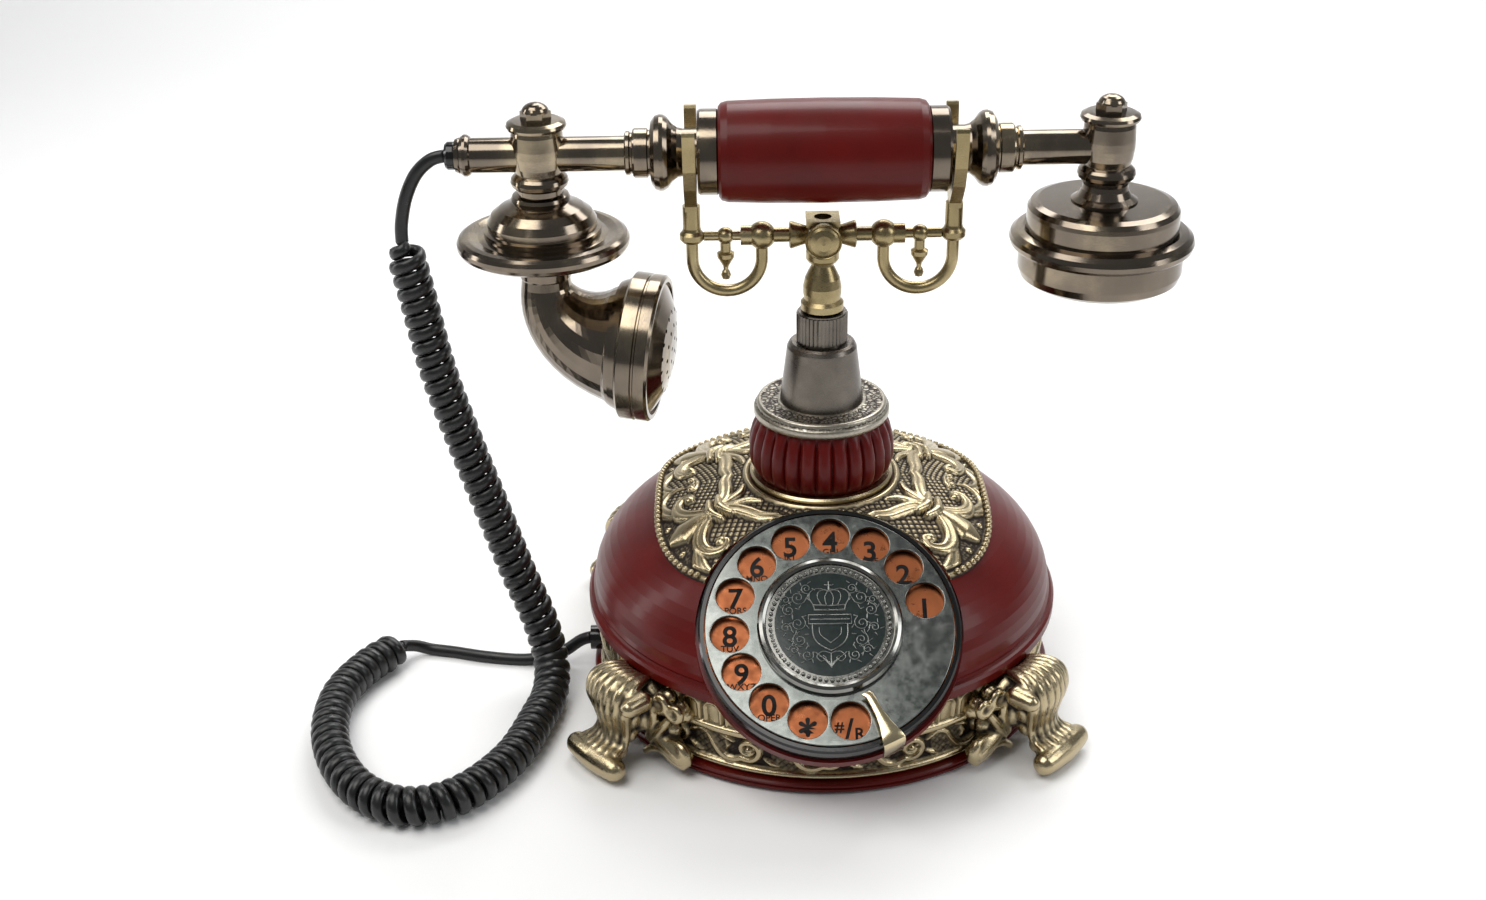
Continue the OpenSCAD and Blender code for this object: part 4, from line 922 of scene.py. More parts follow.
class TELEPHONE_OT_skirt(bpy.types.Operator):
    """Model the cast skirt with its tongues, rib and scrolls"""

    bl_idname = "telephone.skirt"
    bl_label = "Skirt"

    def execute(self, context):
        relief = context.scene.telephone_relief
        per_scroll = 70
        columns = per_scroll * relief.scrolls
        z = np.concatenate([np.linspace(0, 2.9, 7), np.linspace(3.3, 14.9, 30), np.linspace(15.2, 29.9, 34)])
        rows = len(z)
        turn = np.arange(columns) * 2 * math.pi / columns
        across = (np.arange(columns) % per_scroll) / per_scroll * 31 - 15.5
        height = np.zeros((rows, columns))
        low = (z > 3) & (z < 15)
        x, y = np.meshgrid(across, (z[low] - 9.2) * 13.5 / 12.4)
        height[low] = draw_scroll_band(x, y)
        height[z <= 2.9] = (1.9 * np.sqrt(np.clip(1 - ((z[z <= 2.9] - 1.4) / 1.7) ** 2, 0, 1)))[:, None]
        rib = (z >= 15) & (z < 18.4)
        height[rib] = (1.9 * np.sqrt(np.clip(1 - ((z[rib] - 16.6) / 1.75) ** 4, 0, 1)))[:, None]
        high = z >= 18.4
        height[high] = self.tongues(turn, z[high], relief.tongues)
        height *= relief.skirt / (1.7 * MM)
        base = BAND_R / MM - 0.5 + np.interp(z, [0, 18, 29.9], [0, 0, 1.2])
        radius = base[:, None] + height
        piece = turned_relief("skirt_relief", radius * MM, SKIRT_Z + z * MM, turn, BAND_R - 5.5 * MM)
        hollow = 0.74 - height / 2.3
        store_hollows(piece, np.concatenate([hollow, hollow[:2] * 0 + 0.5]).ravel())
        self.cut_openings(piece)
        settle(piece, "aged_gold", "base", ["skirt"])
        return {"FINISHED"}

    def tongues(self, turn, z, count):
        """Upright tongues with a round top, a raised edge and a soft middle."""
        width = 2 * math.pi * (BAND_R / MM) / count
        x = ((turn / (2 * math.pi) * count) % 1 - 0.5) * width
        x, z = np.meshgrid(x, z)
        half = width / 2 - 0.75
        top = 28.6 - half
        outside = np.where(z > top, np.hypot(x, z - top), np.abs(x)) - (half - 0.5)
        edge = 1.5 * np.sqrt(np.clip(1 - (outside / 0.85) ** 2, 0, 1))
        middle = 0.55 + 0.45 * np.sqrt(np.clip(1 - (x / (half - 1.1)) ** 2, 0, 1))
        return np.where(outside < 0, np.maximum(edge, middle), np.maximum(edge, -0.3))

    def cut_openings(self, piece):
        """Windows for the line socket and the ringer's lever, and the dial boss's seat."""
        boss = turned_piece(
            "boss_cutter",
            [(0, -27 * MM), (29.6 * MM, -26.5 * MM), (37.6 * MM, -24 * MM), (43.6 * MM, -20.5 * MM),
             (47.6 * MM, -16.5 * MM), (BOSS_R, -12.5 * MM), (BOSS_R, 20 * MM), (0, 20 * MM)],
            128, DIAL_PLACE,
        )
        cut_with(piece, boss)
        socket_low, socket_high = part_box("line_socket")
        self.cut_box(piece, socket_low - Vector((0, 2 * MM, 0)), socket_high + Vector((0, 10 * MM, 0)), 0)
        ringer_low = Vector((-5.3 * MM, BAND_R - 9 * MM, 12.2 * MM))
        ringer_high = Vector((5.3 * MM, BAND_R + 9 * MM, 15.8 * MM))
        self.cut_box(piece, ringer_low, ringer_high, 17)

    def cut_box(self, piece, low, high, degrees):
        box = box_piece("window", low, high)
        box.data.transform(Matrix.Rotation(math.radians(degrees), 4, "Z"))
        cut_with(piece, box)


# ---------- Feet ----------
# Radius that distances round the skirt are laid on, and the middle of a toe's roll, in millimetres
FOOT_WALL_R = 96
TOE_X, TOE_Z = 116.2, 5.8


def bent(points):
    """Points in metres from lift off the skirt's wall, distance round it and height, in millimetres."""
    out = []
    for lift, around, z in points:
        radius = BAND_R / MM + lift
        a = around / FOOT_WALL_R
        out.append((radius * math.cos(a) * MM, radius * math.sin(a) * MM, z * MM))
    return np.array(out)


def foot_parts():
    """The clay of one foot, standing out along +X: leaf, toe, an open scroll at +Y and a closed one at -Y."""
    parts = []

    def clay(line, radii, side, flat=1.0):
        sizes = np.interp(np.linspace(0, 1, len(line)), np.linspace(0, 1, len(radii)), radii)
        parts.append(tube_piece("clay", line, sizes * MM, side, 14, flat))

    def tube(points, radii, steps=5):
        clay(smooth_line(points, steps) * MM, radii, (0, 0, 1))

    def wall_tube(points, radii, steps=5, flat=1.0):
        clay(smooth_line(bent(points), steps), radii, (1, 0, 0), flat)

    # flutes that run down the leaf's face and spread over the toe
    profile = [
        (98, 36.8), (104.5, 37.4), (109.6, 34.8), (111.6, 29), (110.6, 22.5), (110, 16.5), (112, 12),
        (116.4, 10.4),
    ]
    widths = [7.5, 10, 12, 11.8, 9.8, 8.6, 9.2, 10.4]
    for k in range(-3, 4):
        share = k / 3.3
        line = [(x - 3.2 * share**2, share * w, z - 1.4 * share**2) for (x, z), w in zip(profile, widths)]
        tube(line, [w / 5 for w in widths])
    # filling behind the leaf
    for x, z, half, size in (
        (94, 28, 7, 6.4), (102, 29, 7, 6.2), (104, 22, 5, 6), (104.5, 15, 4.6, 5), (96, 20, 5, 8),
        (110, 9, 6, 4), (113.5, 8.6, 7.5, 3),
    ):
        tube([(x, -half, z), (x, half, z)], [size, size])
    tube([(103, -13.6, 32), (110, -14.2, 32)], [4.0, 3.4])
    curl = [(110.5, -11.8, 32), (110.8, -14.2, 34.4), (111, -16.4, 32.2), (111, -14.6, 30.2)]
    tube(curl, [1.0, 1.1, 1.1, 0.9])
    roll = [(TOE_X, y, TOE_Z + lift) for y, lift in ((-11.6, 0), (-6, 0.1), (0, 0.2), (6, 0.1), (11.6, 0))]
    tube(roll, [4.6, 5.5, 5.9, 5.5, 4.6], 4)
    for s in (-1, 1):
        parts.append(ring_piece(TOE_X, s * 11.2, TOE_Z, 3.4, 1.2))
        paw = [(3, s * 8, 12), (5, s * 13, 12.5), (6.5, s * 19, 11), (7.5, s * 25, 8.8)]
        wall_tube(paw, [5.2, 5, 4.6, 4.2], 5, 0.9)
        wall_tube([(9, s * 8, 4.6), (9, s * 12, 8), (9, s * 17, 9), (9.2, s * 22, 6.6), (9, s * 26.4, 5.6)],
                  [1.6, 1.7, 1.7, 1.7, 1.8])
        wall_tube([(7.5, s * 24.8, 5.2), (8.5, s * 27.4, 8.2), (8.5, s * 26.2, 12.4), (8, s * 22.5, 13.6),
                   (8, s * 16.5, 12.6)], [2.4, 2.7, 2.4, 1.8, 1.4])
        wall_tube([(9.5, s * 22.6, 9.4), (9.5, s * 20, 10.2)], [1.7, 1.1])
    # the open scroll with its ball, and the leaf tip beside it
    wall_tube([(9.5, 8.8, 13), (9.5, 12.6, 15.6), (9, 14.2, 20), (8.5, 14.4, 25.5), (8, 16.4, 28.8)],
              [2.0, 2.2, 1.9, 1.6, 1.2])
    wall_tube([(9, 14.2, 21), (9.4, 15.4, 17.6), (9, 18.8, 16.2), (8, 22.4, 18.2), (7, 23.8, 21.6)],
              [1.3, 1.5, 1.5, 1.4, 1.0])
    wall_tube([(6.5, 18.8, 22.4), (7, 18.8, 22.6)], [4.0, 4.0], 2)
    wall_tube([(2, 13, 27), (2, 18, 25), (2, 23, 22)], [4, 4, 3])
    wall_tube([(8.4, 19.5, 15), (7.6, 24, 16.4), (6.5, 28.4, 17.6)], [1.6, 2.2, 0.9])
    # the closed scrolls at the top of the other side
    for x, z, size in ((16.2, 30.2, 4.3), (23.2, 28.4, 3.5)):
        turns = [(9, -(x + dx), z + dz) for dx, dz in spiral(0, 0, size, 1.1, 200, 1.35, 12)]
        wall_tube(turns, [1.6, 1.7, 1.5, 1.2, 1.0], 3)
        wall_tube([(4.5, -x, z), (8.6, -x, z)], [size * 0.8, 1.4], 3)
    wall_tube([(9, -11.8, 30), (9, -13.2, 24), (9, -12, 18), (9, -9.6, 12)], [1.5, 2.0, 2.0, 1.6])
    wall_tube([(8.6, -21, 25.4), (8.8, -18, 21), (8.8, -14.5, 16), (8.8, -11, 11)], [1.3, 1.9, 2.0, 1.6])
    wall_tube([(2, -13, 26), (2, -18, 24), (2, -23, 24)], [4.4, 4.4, 3.6])
    wall_tube([(3, -12, 18), (3, -17, 16)], [4.5, 4.0])
    return parts


def ring_piece(x, y, z, radius, thick):
    """A ring about the Y axis, in millimetres."""
    turn = np.linspace(0, 2 * math.pi, 33)
    line = np.stack([x + radius * np.cos(turn), np.full(33, y), z + radius * np.sin(turn)], 1)
    return tube_piece("clay", line * MM, thick * MM, (0, 1, 0), 10)


class TELEPHONE_OT_feet(bpy.types.Operator):
    """Model the four scrolled feet as castings"""

    bl_idname = "telephone.feet"
    bl_label = "Feet"

    def execute(self, context):
        clay = joined("foot_clay", foot_parts())
        melt = clay.modifiers.new("melt", "REMESH")
        melt.mode = "VOXEL"
        melt.voxel_size = 0.62 * MM
        melt.use_smooth_shade = True
        calm = clay.modifiers.new("calm", "SMOOTH")
        calm.factor = 0.5
        calm.iterations = 2
        applied(clay)
        self.trim(clay)
        mark_hollows(clay, 1.5)
        replaced = ["feet"]
        for front, end in ((1, "front"), (-1, "rear")):
            for right, hand in ((1, "right"), (-1, "left")):
                degrees = -40 * front if right > 0 else 180 + 40 * front
                place = Matrix.Rotation(math.radians(degrees), 4, "Z")
                mirrored = front * right < 0
                if mirrored:
                    place = place @ Matrix.Scale(-1, 4, (0, 1, 0))
                mesh = clay.data.copy()
                mesh.transform(place)
                if mirrored:
                    mesh.flip_normals()
                settle(linked(f"foot_{end}_{hand}", mesh), "aged_gold", "base", replaced)
                replaced = []
        drop(clay)
        return {"FINISHED"}

    def trim(self, piece):
        """Cuts the clay back to just inside the skirt's wall and to the floor."""
        high = FLANGE_Z + 6 * MM
        low = -5 * MM
        plate_r, wall_r = FLANGE_R - 0.8 * MM, BAND_R - 2 * MM
        outline = [
            (0, low), (plate_r, low), (plate_r, SKIRT_Z), (wall_r, SKIRT_Z), (wall_r, FLANGE_Z),
            (FLANGE_R, FLANGE_Z), (FLANGE_R, high), (0, high),
        ]
        cut_with(piece, turned_piece("core_cutter", outline, 256))
        cut_with(piece, box_piece("floor_cutter", (0, -0.1, -0.1), (0.2, 0.1, 0)))
        piece.data.polygons.foreach_set("use_smooth", [True] * len(piece.data.polygons))


# ---------- Column ----------
class TELEPHONE_OT_column(bpy.types.Operator):
    """Model the ribbed bulb and the engraved disc of the column"""

    bl_idname = "telephone.column"
    bl_label = "Column"

    def execute(self, context):
        ribs = context.scene.telephone_relief.ribs
        radius, low, high = BULB_HIGH.x, BULB_LOW.z, BULB_HIGH.z
        columns, rows = ribs * 22, 44
        turn = np.arange(columns) * 2 * math.pi / columns
        part = np.linspace(0, 1, rows)
        marks = [0, 0.03, 0.1, 0.22, 0.36, 0.56, 0.78, 0.92, 0.98, 1.0]
        shape = np.interp(part, marks, [-4.4, -2.9, -1.5, -0.4, 0, -0.2, -1.5, -3.2, -4, -5])
        shape = np.convolve(np.pad(shape, 2, "edge"), np.ones(5) / 5, "valid")
        across = np.abs((turn / (2 * math.pi) * ribs) % 1 - 0.5) * 2
        groove = 1 - np.sqrt(np.clip(1 - across**2, 0, 1))
        depth = 3.4 * np.clip(np.sin(part * math.pi) * 1.8, 0, 1)
        r = radius + (shape[:, None] - depth[:, None] * groove[None, :]) * MM
        bulb = turned_relief("bulb_ribbed", r, low + part * (high - low), turn, 8 * MM)
        settle(bulb, "lacquer", "base", ["bulb"])
        self.disc()
        return {"FINISHED"}

    def disc(self):
        """A stepped disc whose upper face is engraved between two plain edges."""
        r, low, high = DISC_HIGH.x, DISC_LOW.z, DISC_HIGH.z
        edge = r / MM
        # radius, height and how dark the hollows are
        steps = [
            (8, 0, 0), (edge - 1.2, 0, 0), (edge - 0.4, 0.3, 0), (edge, 0.9, 0), (edge, 3.0, 0.2),
            (edge - 0.3, 3.6, 0.3), (edge - 0.9, 3.9, 0.6), (edge - 1.1, 4.1, 1), (edge - 1.1, 5.0, 0.3),
            (edge - 1.5, 5.7, 0.1), (edge - 2.3, 6.0, 0.2), (edge - 3.0, 5.8, 1), (17.6, 5.8, 1),
            (17.0, 6.0, 0.4), (8, 6.0, 0.5),
        ]
        outline = [(x * MM, low + z * MM * (high - low) / (6 * MM)) for x, z, _ in steps]
        disc = turned_piece("disc_engraved", outline, 180)
        radii = [x for x, _, _ in steps]
        marks = np.zeros(len(disc.data.vertices))
        for vertex in disc.data.vertices:
            radius = math.hypot(vertex.co.x, vertex.co.y) / MM
            height = (vertex.co.z - low) / MM
            near = min(range(len(steps)), key=lambda i: abs(radii[i] - radius) + abs(steps[i][1] - height))
            marks[vertex.index] = steps[near][2]
        store_hollows(disc, marks)
        settle(disc, "engraved", "base", ["column_disc"])


# ---------- Dial ----------
def dial_spot(angle, radius, height):
    """A point on the dial at a clock angle in degrees."""
    a = math.radians(angle)
    return Vector((radius * math.sin(a), radius * math.cos(a), height))


def flat_text(words, size, thickness, spot, body):
    """Characters that lie on the dial with their tops towards +Y, in the dial's own frame."""
    data = bpy.data.curves.new("words", "FONT")
    data.body = words
    data.size = size
    data.align_x = "CENTER"
    data.align_y = "CENTER"
    data.extrude = thickness
    data.offset = size * body
    mesh = mesh_of(data)
    mesh.transform(Matrix.Translation(spot))
    return linked("words", mesh)


class TELEPHONE_OT_dial(bpy.types.Operator):
    """Model the finger wheel with its bevelled holes, the digits and the label's ornament"""

    bl_idname = "telephone.dial"
    bl_label = "Dial"

    def execute(self, context):
        self.wheel()
        self.digits()
        self.label()
        self.beads()
        self.stop()
        return {"FINISHED"}

    def beads(self):
        """A ring of small beads round the label."""
        count = 64
        out = DIAL_PLACE.to_3x3() @ Vector((0, 0, 1))
        places = [DIAL_PLACE @ dial_spot(360 * k / count, LABEL_BEADS_R, 2.5 * MM) for k in range(count)]
        beads = repeated("label_beads", places, [out] * count, ball_item(), 0.78 * MM, "bright_chrome")
        settle(beads, "bright_chrome", "dial")

    def stop(self):
        """The finger stop: a flat arm that widens outwards, then bends down over the bezel to its foot."""
        # distance from the dial's middle, height and half width
        spine = [
            (29.6, 3.6, 1.7), (31.5, 3.9, 1.5), (35, 4.1, 1.5), (39, 4.2, 1.7), (43, 4.3, 2.3),
            (46.5, 4.3, 3.3), (49, 4.2, 4.1), (50.4, 3.6, 4.3), (51.1, 2.4, 4.3), (51.3, 0.4, 4.3),
            (51.3, -7.6, 4.2),
        ]
        angle = math.radians(STOP_CLOCK)
        along = Vector((math.sin(angle), math.cos(angle), 0))
        across = Vector((math.cos(angle), -math.sin(angle), 0))
        thickness, hook = 1.1 * MM, 0.9 * MM
        # across the arm, and how far down its thickness
        section = ((-1, 0), (0, -0.12), (1, 0), (1, 1), (-1, 1))
        rows = []
        for i, (radius, height, half) in enumerate(spine):
            before, after = spine[max(i - 1, 0)], spine[min(i + 1, len(spine) - 1)]
            run = Vector((after[0] - before[0], after[1] - before[1])).normalized()
            down = (along * -run.y + Vector((0, 0, 1)) * run.x) * -thickness
            middle = along * radius * MM + Vector((0, 0, height * MM)) + across * (hook if i == 0 else 0)
            for side, under in section:
                rows.append(DIAL_PLACE @ (middle + across * side * half * MM + down * under))
        piece = new_piece("finger_stop_arm", rows, tube_faces(len(spine), len(section)))
        sealed(piece.data)
        bevel = piece.modifiers.new("edges", "BEVEL")
        bevel.width = 0.25 * MM
        bevel.segments = 2
        bevel.limit_method = "ANGLE"
        bevel.angle_limit = math.radians(50)
        applied(piece)
        piece.data.polygons.foreach_set("use_smooth", [True] * len(piece.data.polygons))
        piece.data.set_sharp_from_angle(angle=math.radians(35))
        settle(piece, "pale_gold", "base", ["finger_stop"])

    def hole_angles(self):
        return [FIRST_HOLE - HOLE_STEP * k for k in range(12)]

    def wheel(self):
        """A filled curve with holes, extruded and bevelled, gives the wheel its rounded rims."""
        data = bpy.data.curves.new("wheel", "CURVE")
        data.dimensions = "2D"
        data.fill_mode = "BOTH"
        edge = 0.3 * MM
        data.extrude = 0.6 * MM
        data.bevel_depth = edge
        data.bevel_resolution = 3
        rings = [(0, 0, WHEEL_R - edge, 96), (0, 0, 3.1 * MM + edge, 32)]
        for angle in self.hole_angles():
            spot = dial_spot(angle, HOLE_CIRCLE_R, 0)
            rings.append((spot.x, spot.y, HOLE_R + edge, 48))
        for x, y, radius, count in rings:
            line = data.splines.new("POLY")
            line.points.add(count - 1)
            for i, point in enumerate(line.points):
                a = 2 * math.pi * i / count
                point.co = (x + radius * math.cos(a), y + radius * math.sin(a), 0, 1)
            line.use_cyclic_u = True
        mesh = mesh_of(data)
        mesh.transform(DIAL_PLACE @ Matrix.Translation((0, 0, -0.9 * MM)))
        sealed(mesh, 1e-7)
        mesh.name = "wheel_face"
        piece = linked("wheel_face", mesh)
        mesh.polygons.foreach_set("use_smooth", [True] * len(mesh.polygons))
        mesh.set_sharp_from_angle(angle=math.radians(32))
        level = piece.modifiers.new("level", "WEIGHTED_NORMAL")
        level.keep_sharp = True
        level.weight = 100
        applied(piece)
        settle(piece, "dark_chrome", "dial", ["finger_wheel"])

    def digits(self):
        """Printed digits and letters, which lie on the plate under the holes while the wheel turns."""
        groups = ["", "ABC", "DEF", "GHI", "JKL", "MNO", "PQRS", "TUV", "WXYZ", "OPER", "", ""]
        signs = ["1", "2", "3", "4", "5", "6", "7", "8", "9", "0", "*", "#/R"]
        # each mark with its size and its place from the hole's middle, in millimetres
        layouts = {
            "*": [("*", 15, 0, -3.8)],
            "#/R": [("#", 5.6, -4, 0.2), ("/", 10.5, -0.4, -0.8), ("R", 6.2, 3.2, -2.6)],
        }
        thickness = 0.05 * MM
        words = []
        for sign, group, angle in zip(signs, groups, self.hole_angles()):
            hole = dial_spot(angle, HOLE_CIRCLE_R, NUMBER_PLATE_TOP)
            drop_by = 1.2 * MM + 1.2 * MM * hole.x / HOLE_CIRCLE_R
            for mark, size, x, y in layouts.get(sign, [(sign, 11.2, 0, 0)]):
                spot = hole + Vector((x * MM, y * MM - drop_by, 0))
                words.append(flat_text(mark, size * MM, thickness, spot, 0.022))
            if group:
                spot = hole + Vector((0, -4.6 * MM - drop_by / 2, 0))
                words.append(flat_text(group, 3.5 * MM, thickness, spot, 0.02))
        piece = joined("dial_digits", words)
        sealed(piece.data, 1e-6, DIAL_PLACE)
        settle(piece, "ink", "base")

    def label(self):
        """A crown over a shield between scrolls, drawn in thin raised lines on the label."""
        top = 2.3
        parts = []

        def line(points, width=0.16, steps=4):
            for side in (1, -1):
                flat = smooth_line([(side * x * 1.2, y * 1.2 - 0.6, top) for x, y in points], steps)
                parts.append(tube_piece("line", flat * MM, width * 1.25 * MM, (0, 0, 1), 6))
                if all(abs(x) < 1e-6 for x, _ in points):
                    break

        line([(0, 5.2), (4.6, 5.2)], 0.3, 1)
        line([(0, 6.6), (4.9, 6.9)], 0.25, 1)
        line([(4.6, 5.2), (5.0, 6.9), (6.2, 9.4), (5.6, 11.4), (3.4, 12.4), (0, 11.4)])
        line([(2.4, 6.8), (3.6, 9.4), (3, 11.4), (0, 12.2)])
        line([(0.9, 6.8), (1.3, 9.6), (0, 12.2)])
        line([(0, 11.8), (0, 14.6)], 0.35, 1)
        line([(0, 13.4), (1.2, 13.6)], 0.3, 1)
        line([(0, 3.6), (6.6, 3.6), (6.6, 0.6), (0, 0.6)], 0.22, 1)
        line([(0, 2.1), (5.8, 2.1)], 0.3, 1)
        line([(5.4, 0.6), (5.2, -3.2), (3.6, -6), (0, -8.2)], 0.22)
        line([(3.4, -0.6), (3, -3), (0, -5.6)], 0.16)
        line([(0, -9), (2.6, -8.4), (4.4, -10), (3, -11.6), (1.6, -10.6), (2.4, -9.8)])
        line([(0, -9), (0, -13.6)], 0.2, 1)
        for k in range(5):
            line([(0, -13.4), (0.6 * k, -12.2 + 0.4 * k), (1.0 * k + 0.4, -12.6 + 0.9 * k)], 0.14)
        for x, y, size, start, turns in (
            (9.6, 9.4, 2.6, 180, 1.6), (12.6, 5.2, 2.2, 90, -1.5), (9.8, 0.8, 2.6, 120, 1.6),
            (13.6, -0.6, 1.8, 200, -1.4), (9.4, -4.6, 2.4, 60, -1.6), (7.2, -9.6, 2.0, 150, 1.5),
            (11.2, -7.8, 1.7, 0, 1.4), (7.0, 12.4, 1.8, 250, 1.5), (13.4, 8.6, 1.4, 0, 1.3),
        ):
            line(spiral(x, y, size, 0.4, start, turns, 14), 0.15, 2)
            for k in range(5):
                a = math.radians(72 * k + start)
                line(
                    [(x + size * math.cos(a), y + size * math.sin(a)),
                     (x + (size + 1) * math.cos(a + 0.25), y + (size + 1) * math.sin(a + 0.25))], 0.14, 1,
                )
        piece = joined("label_ornament", parts)
        piece.data.transform(DIAL_PLACE)
        piece.data.polygons.foreach_set("use_smooth", [True] * len(piece.data.polygons))
        settle(piece, "label_silver", "dial")


# ---------- Cord ----------
class TELEPHONE_OT_cord(bpy.types.Operator):
    """Wind the flat cord along its route from the handset to the base"""

    bl_idname = "telephone.cord"
    bl_label = "Cord"

    def execute(self, context):
        size = context.scene.telephone_cord
        upper = smooth_line(UPPER_ROUTE, 12) * MM
        coil = smooth_line(COIL_ROUTE, 40) * MM
        lower = smooth_line(LOWER_ROUTE, 12) * MM
        axis = np.concatenate([upper[:-1], coil[:-1], lower])
        run = np.concatenate([[0], np.cumsum(np.linalg.norm(np.diff(axis, axis=0), axis=1))])
        first, last = run[len(upper) - 1], run[len(upper) + len(coil) - 2]
        straight_step, coil_step = 1.5 * MM, size.pitch / 16
        stations = np.concatenate([
            np.arange(0, first, straight_step), np.arange(first, last, coil_step),
            np.arange(last, run[-1], straight_step), [run[-1]],
        ])
        centre = np.stack([np.interp(stations, run, axis[:, k]) for k in range(3)], 1)
        _, sides, ups = carried_frames(centre, (0, 1, 0))
        easing = np.clip(np.minimum(stations - first, last - stations) / (6 * MM), 0, 1)
        swing = (size.coil_radius - size.thickness / 2) * easing * easing * (3 - 2 * easing)
        turn = (np.clip(stations, first, last) - first) / size.pitch * 2 * math.pi
        outward = np.cos(turn)[:, None] * sides + np.sin(turn)[:, None] * ups
        line = centre + swing[:, None] * outward
        tangents = np.gradient(line, axis=0)
        tangents /= np.linalg.norm(tangents, axis=1)[:, None]
        outward -= np.einsum("ij,ij->i", outward, tangents)[:, None] * tangents
        outward /= np.linalg.norm(outward, axis=1)[:, None]
        across = np.cross(tangents, outward)
        around = 10
        angle = np.arange(around) * 2 * math.pi / around
        points = (
            line[:, None, :]
            + size.width / 2 * np.cos(angle)[None, :, None] * across[:, None, :]
            + size.thickness / 2 * np.sin(angle)[None, :, None] * outward[:, None, :]
        )
        piece = new_piece("curly_cord", points.reshape(-1, 3), tube_faces(len(line), around))
        sealed(piece.data)
        piece.data.materials.append(FINISHES["cord_black"])
        total = float(np.linalg.norm(np.diff(line, axis=0), axis=1).sum())
        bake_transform(piece)
        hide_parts("cord_upper", "cord_coil", "cord_lower")
        print(f"cord: {total:.3f} m, {len(line)} stations")
        return {"FINISHED"}


# ---------- CAD nodes ----------
class TELEPHONE_OT_finishes(bpy.types.Operator):
    """Make the finishes and put them on the nodes that the frame already shapes"""

    bl_idname = "telephone.finishes"
    bl_label = "Finishes"

    def execute(self, context):
        FINISHES.update(make_finishes())
        for name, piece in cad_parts.items():
            slot = piece.material_slots[0]
            slot.material = FINISHES[NODE_FINISHES.get(name) or slot.material.name.split(".")[0]]
        return {"FINISHED"}


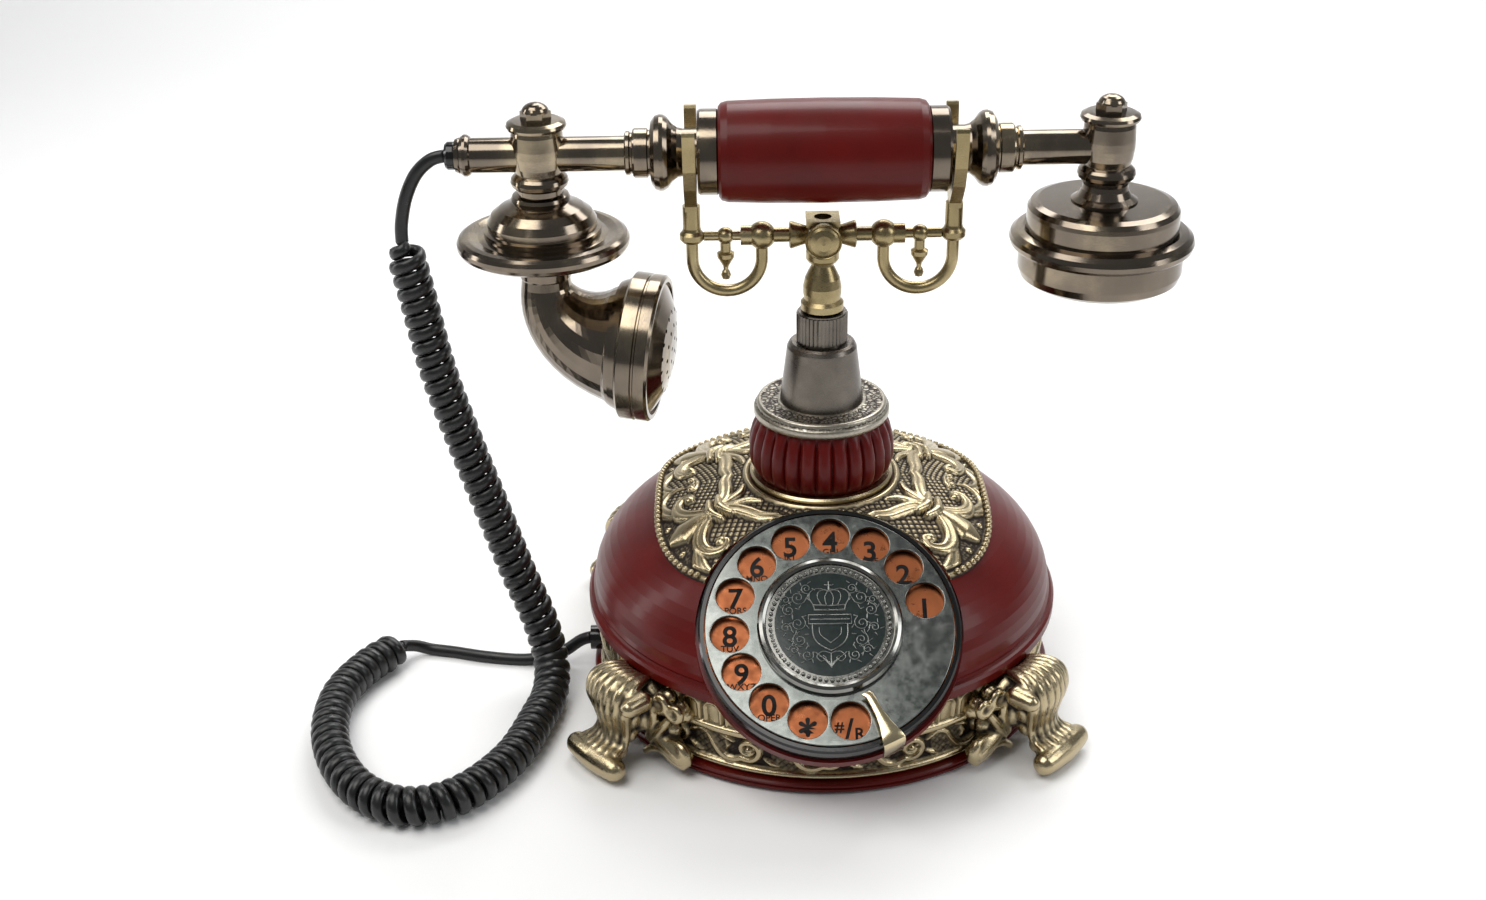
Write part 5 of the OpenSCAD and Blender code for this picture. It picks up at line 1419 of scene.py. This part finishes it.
# ---------- Stage ----------
class TELEPHONE_OT_stage(bpy.types.Operator):
    """Set up the floor, the studio light and the camera"""

    bl_idname = "telephone.stage"
    bl_label = "Stage"

    def execute(self, context):
        scene = context.scene
        tilt, roll = math.radians(26.85), math.radians(-0.85)
        view = Matrix.Rotation(math.radians(90) - tilt, 4, "X") @ Matrix.Rotation(roll, 4, "Z")
        data = bpy.data.cameras.new("view")
        data.sensor_width = 36
        data.lens = 1835 / 1486 * 36
        data.clip_start = 0.01
        camera = bpy.data.objects.new("view", data)
        camera.matrix_world = Matrix.Translation((-31 * MM, -649 * MM, 427 * MM)) @ view
        scene.collection.objects.link(camera)
        scene.camera = camera
        scene.view_settings.view_transform = "Standard"
        self.floor()
        self.lights()
        world = scene.world or bpy.data.worlds.new("studio")
        scene.world = world
        world.use_nodes = True
        background = world.node_tree.nodes["Background"]
        background.inputs["Color"].default_value = (0.9, 0.93, 0.95, 1)
        background.inputs["Strength"].default_value = 0.2
        return {"FINISHED"}

    def floor(self):
        """A floor that curves up into a backdrop."""
        line = [(-1.6, 0), (0.9, 0)]
        for i in range(1, 13):
            a = math.radians(90 * i / 12)
            line.append((0.9 + 0.5 * math.sin(a), 0.5 - 0.5 * math.cos(a)))
        line.append((1.4, 2.4))
        points = [(x, y, z) for y, z in line for x in (-3, 3)]
        floor = new_piece("floor", points, grid_faces(len(line), 2, False, False))
        floor.data.materials.append(floor_finish())

    def lights(self):
        for name, place, aim, width, tall, power, tint in (
            ("key", (-0.56, -0.42, 1.3), (-0.42, -0.33, 0), 1.05, 1.0, 12.5, (1, 0.985, 0.96)),
            ("side", (1.05, -0.35, 0.75), (0, 0, 0.12), 0.45, 0.9, 4.5, (0.96, 0.98, 1)),
            ("back", (0.35, 0.85, 1.15), (0.1, 0.1, 0), 1.3, 0.7, 14, (1, 1, 1)),
            ("strip", (-0.85, 0.1, 0.4), (0, 0, 0.16), 0.12, 0.8, 1.6, (1, 1, 1)),
        ):
            data = bpy.data.lights.new(name, "AREA")
            data.shape = "RECTANGLE"
            data.size, data.size_y = width, tall
            data.energy = power
            data.color = tint
            lamp = bpy.data.objects.new(name, data)
            aimed = (Vector(aim) - Vector(place)).to_track_quat("-Z", "Y")
            lamp.matrix_world = Matrix.Translation(place) @ aimed.to_matrix().to_4x4()
            bpy.context.scene.collection.objects.link(lamp)


# ---------- Panel and registration ----------
PIECES = ("finishes", "cord", "stage", "skirt", "feet", "dome_ornament", "column", "dial")


class TELEPHONE_PT_panel(bpy.types.Panel):
    """Buttons that make the telephone's pieces, and the settings that shape them"""

    bl_idname = "TELEPHONE_PT_panel"
    bl_label = "Telephone"
    bl_space_type = "VIEW_3D"
    bl_region_type = "UI"
    bl_category = "Telephone"

    def draw(self, context):
        for name in ("telephone_finish", "telephone_relief", "telephone_cord"):
            settings = getattr(context.scene, name)
            box = self.layout.box()
            for key in settings.__annotations__:
                box.prop(settings, key)
        for name in PIECES:
            self.layout.operator(f"telephone.{name}")


CLASSES = (
    FinishSettings, ReliefSettings, CordSettings, TELEPHONE_OT_finishes, TELEPHONE_OT_cord,
    TELEPHONE_OT_stage, TELEPHONE_OT_skirt, TELEPHONE_OT_feet, TELEPHONE_OT_dome_ornament,
    TELEPHONE_OT_column, TELEPHONE_OT_dial, TELEPHONE_PT_panel,
)


def register():
    for cls in CLASSES:
        bpy.utils.register_class(cls)
    bpy.types.Scene.telephone_finish = bpy.props.PointerProperty(type=FinishSettings)
    bpy.types.Scene.telephone_relief = bpy.props.PointerProperty(type=ReliefSettings)
    bpy.types.Scene.telephone_cord = bpy.props.PointerProperty(type=CordSettings)


def unregister():
    del bpy.types.Scene.telephone_cord
    del bpy.types.Scene.telephone_relief
    del bpy.types.Scene.telephone_finish
    for cls in reversed(CLASSES):
        bpy.utils.unregister_class(cls)


def main():
    register()
    for name in PIECES:
        if getattr(bpy.ops.telephone, name)() != {"FINISHED"}:
            raise RuntimeError(f"{name} didn't finish")


if __name__ == "__main__":
    main()
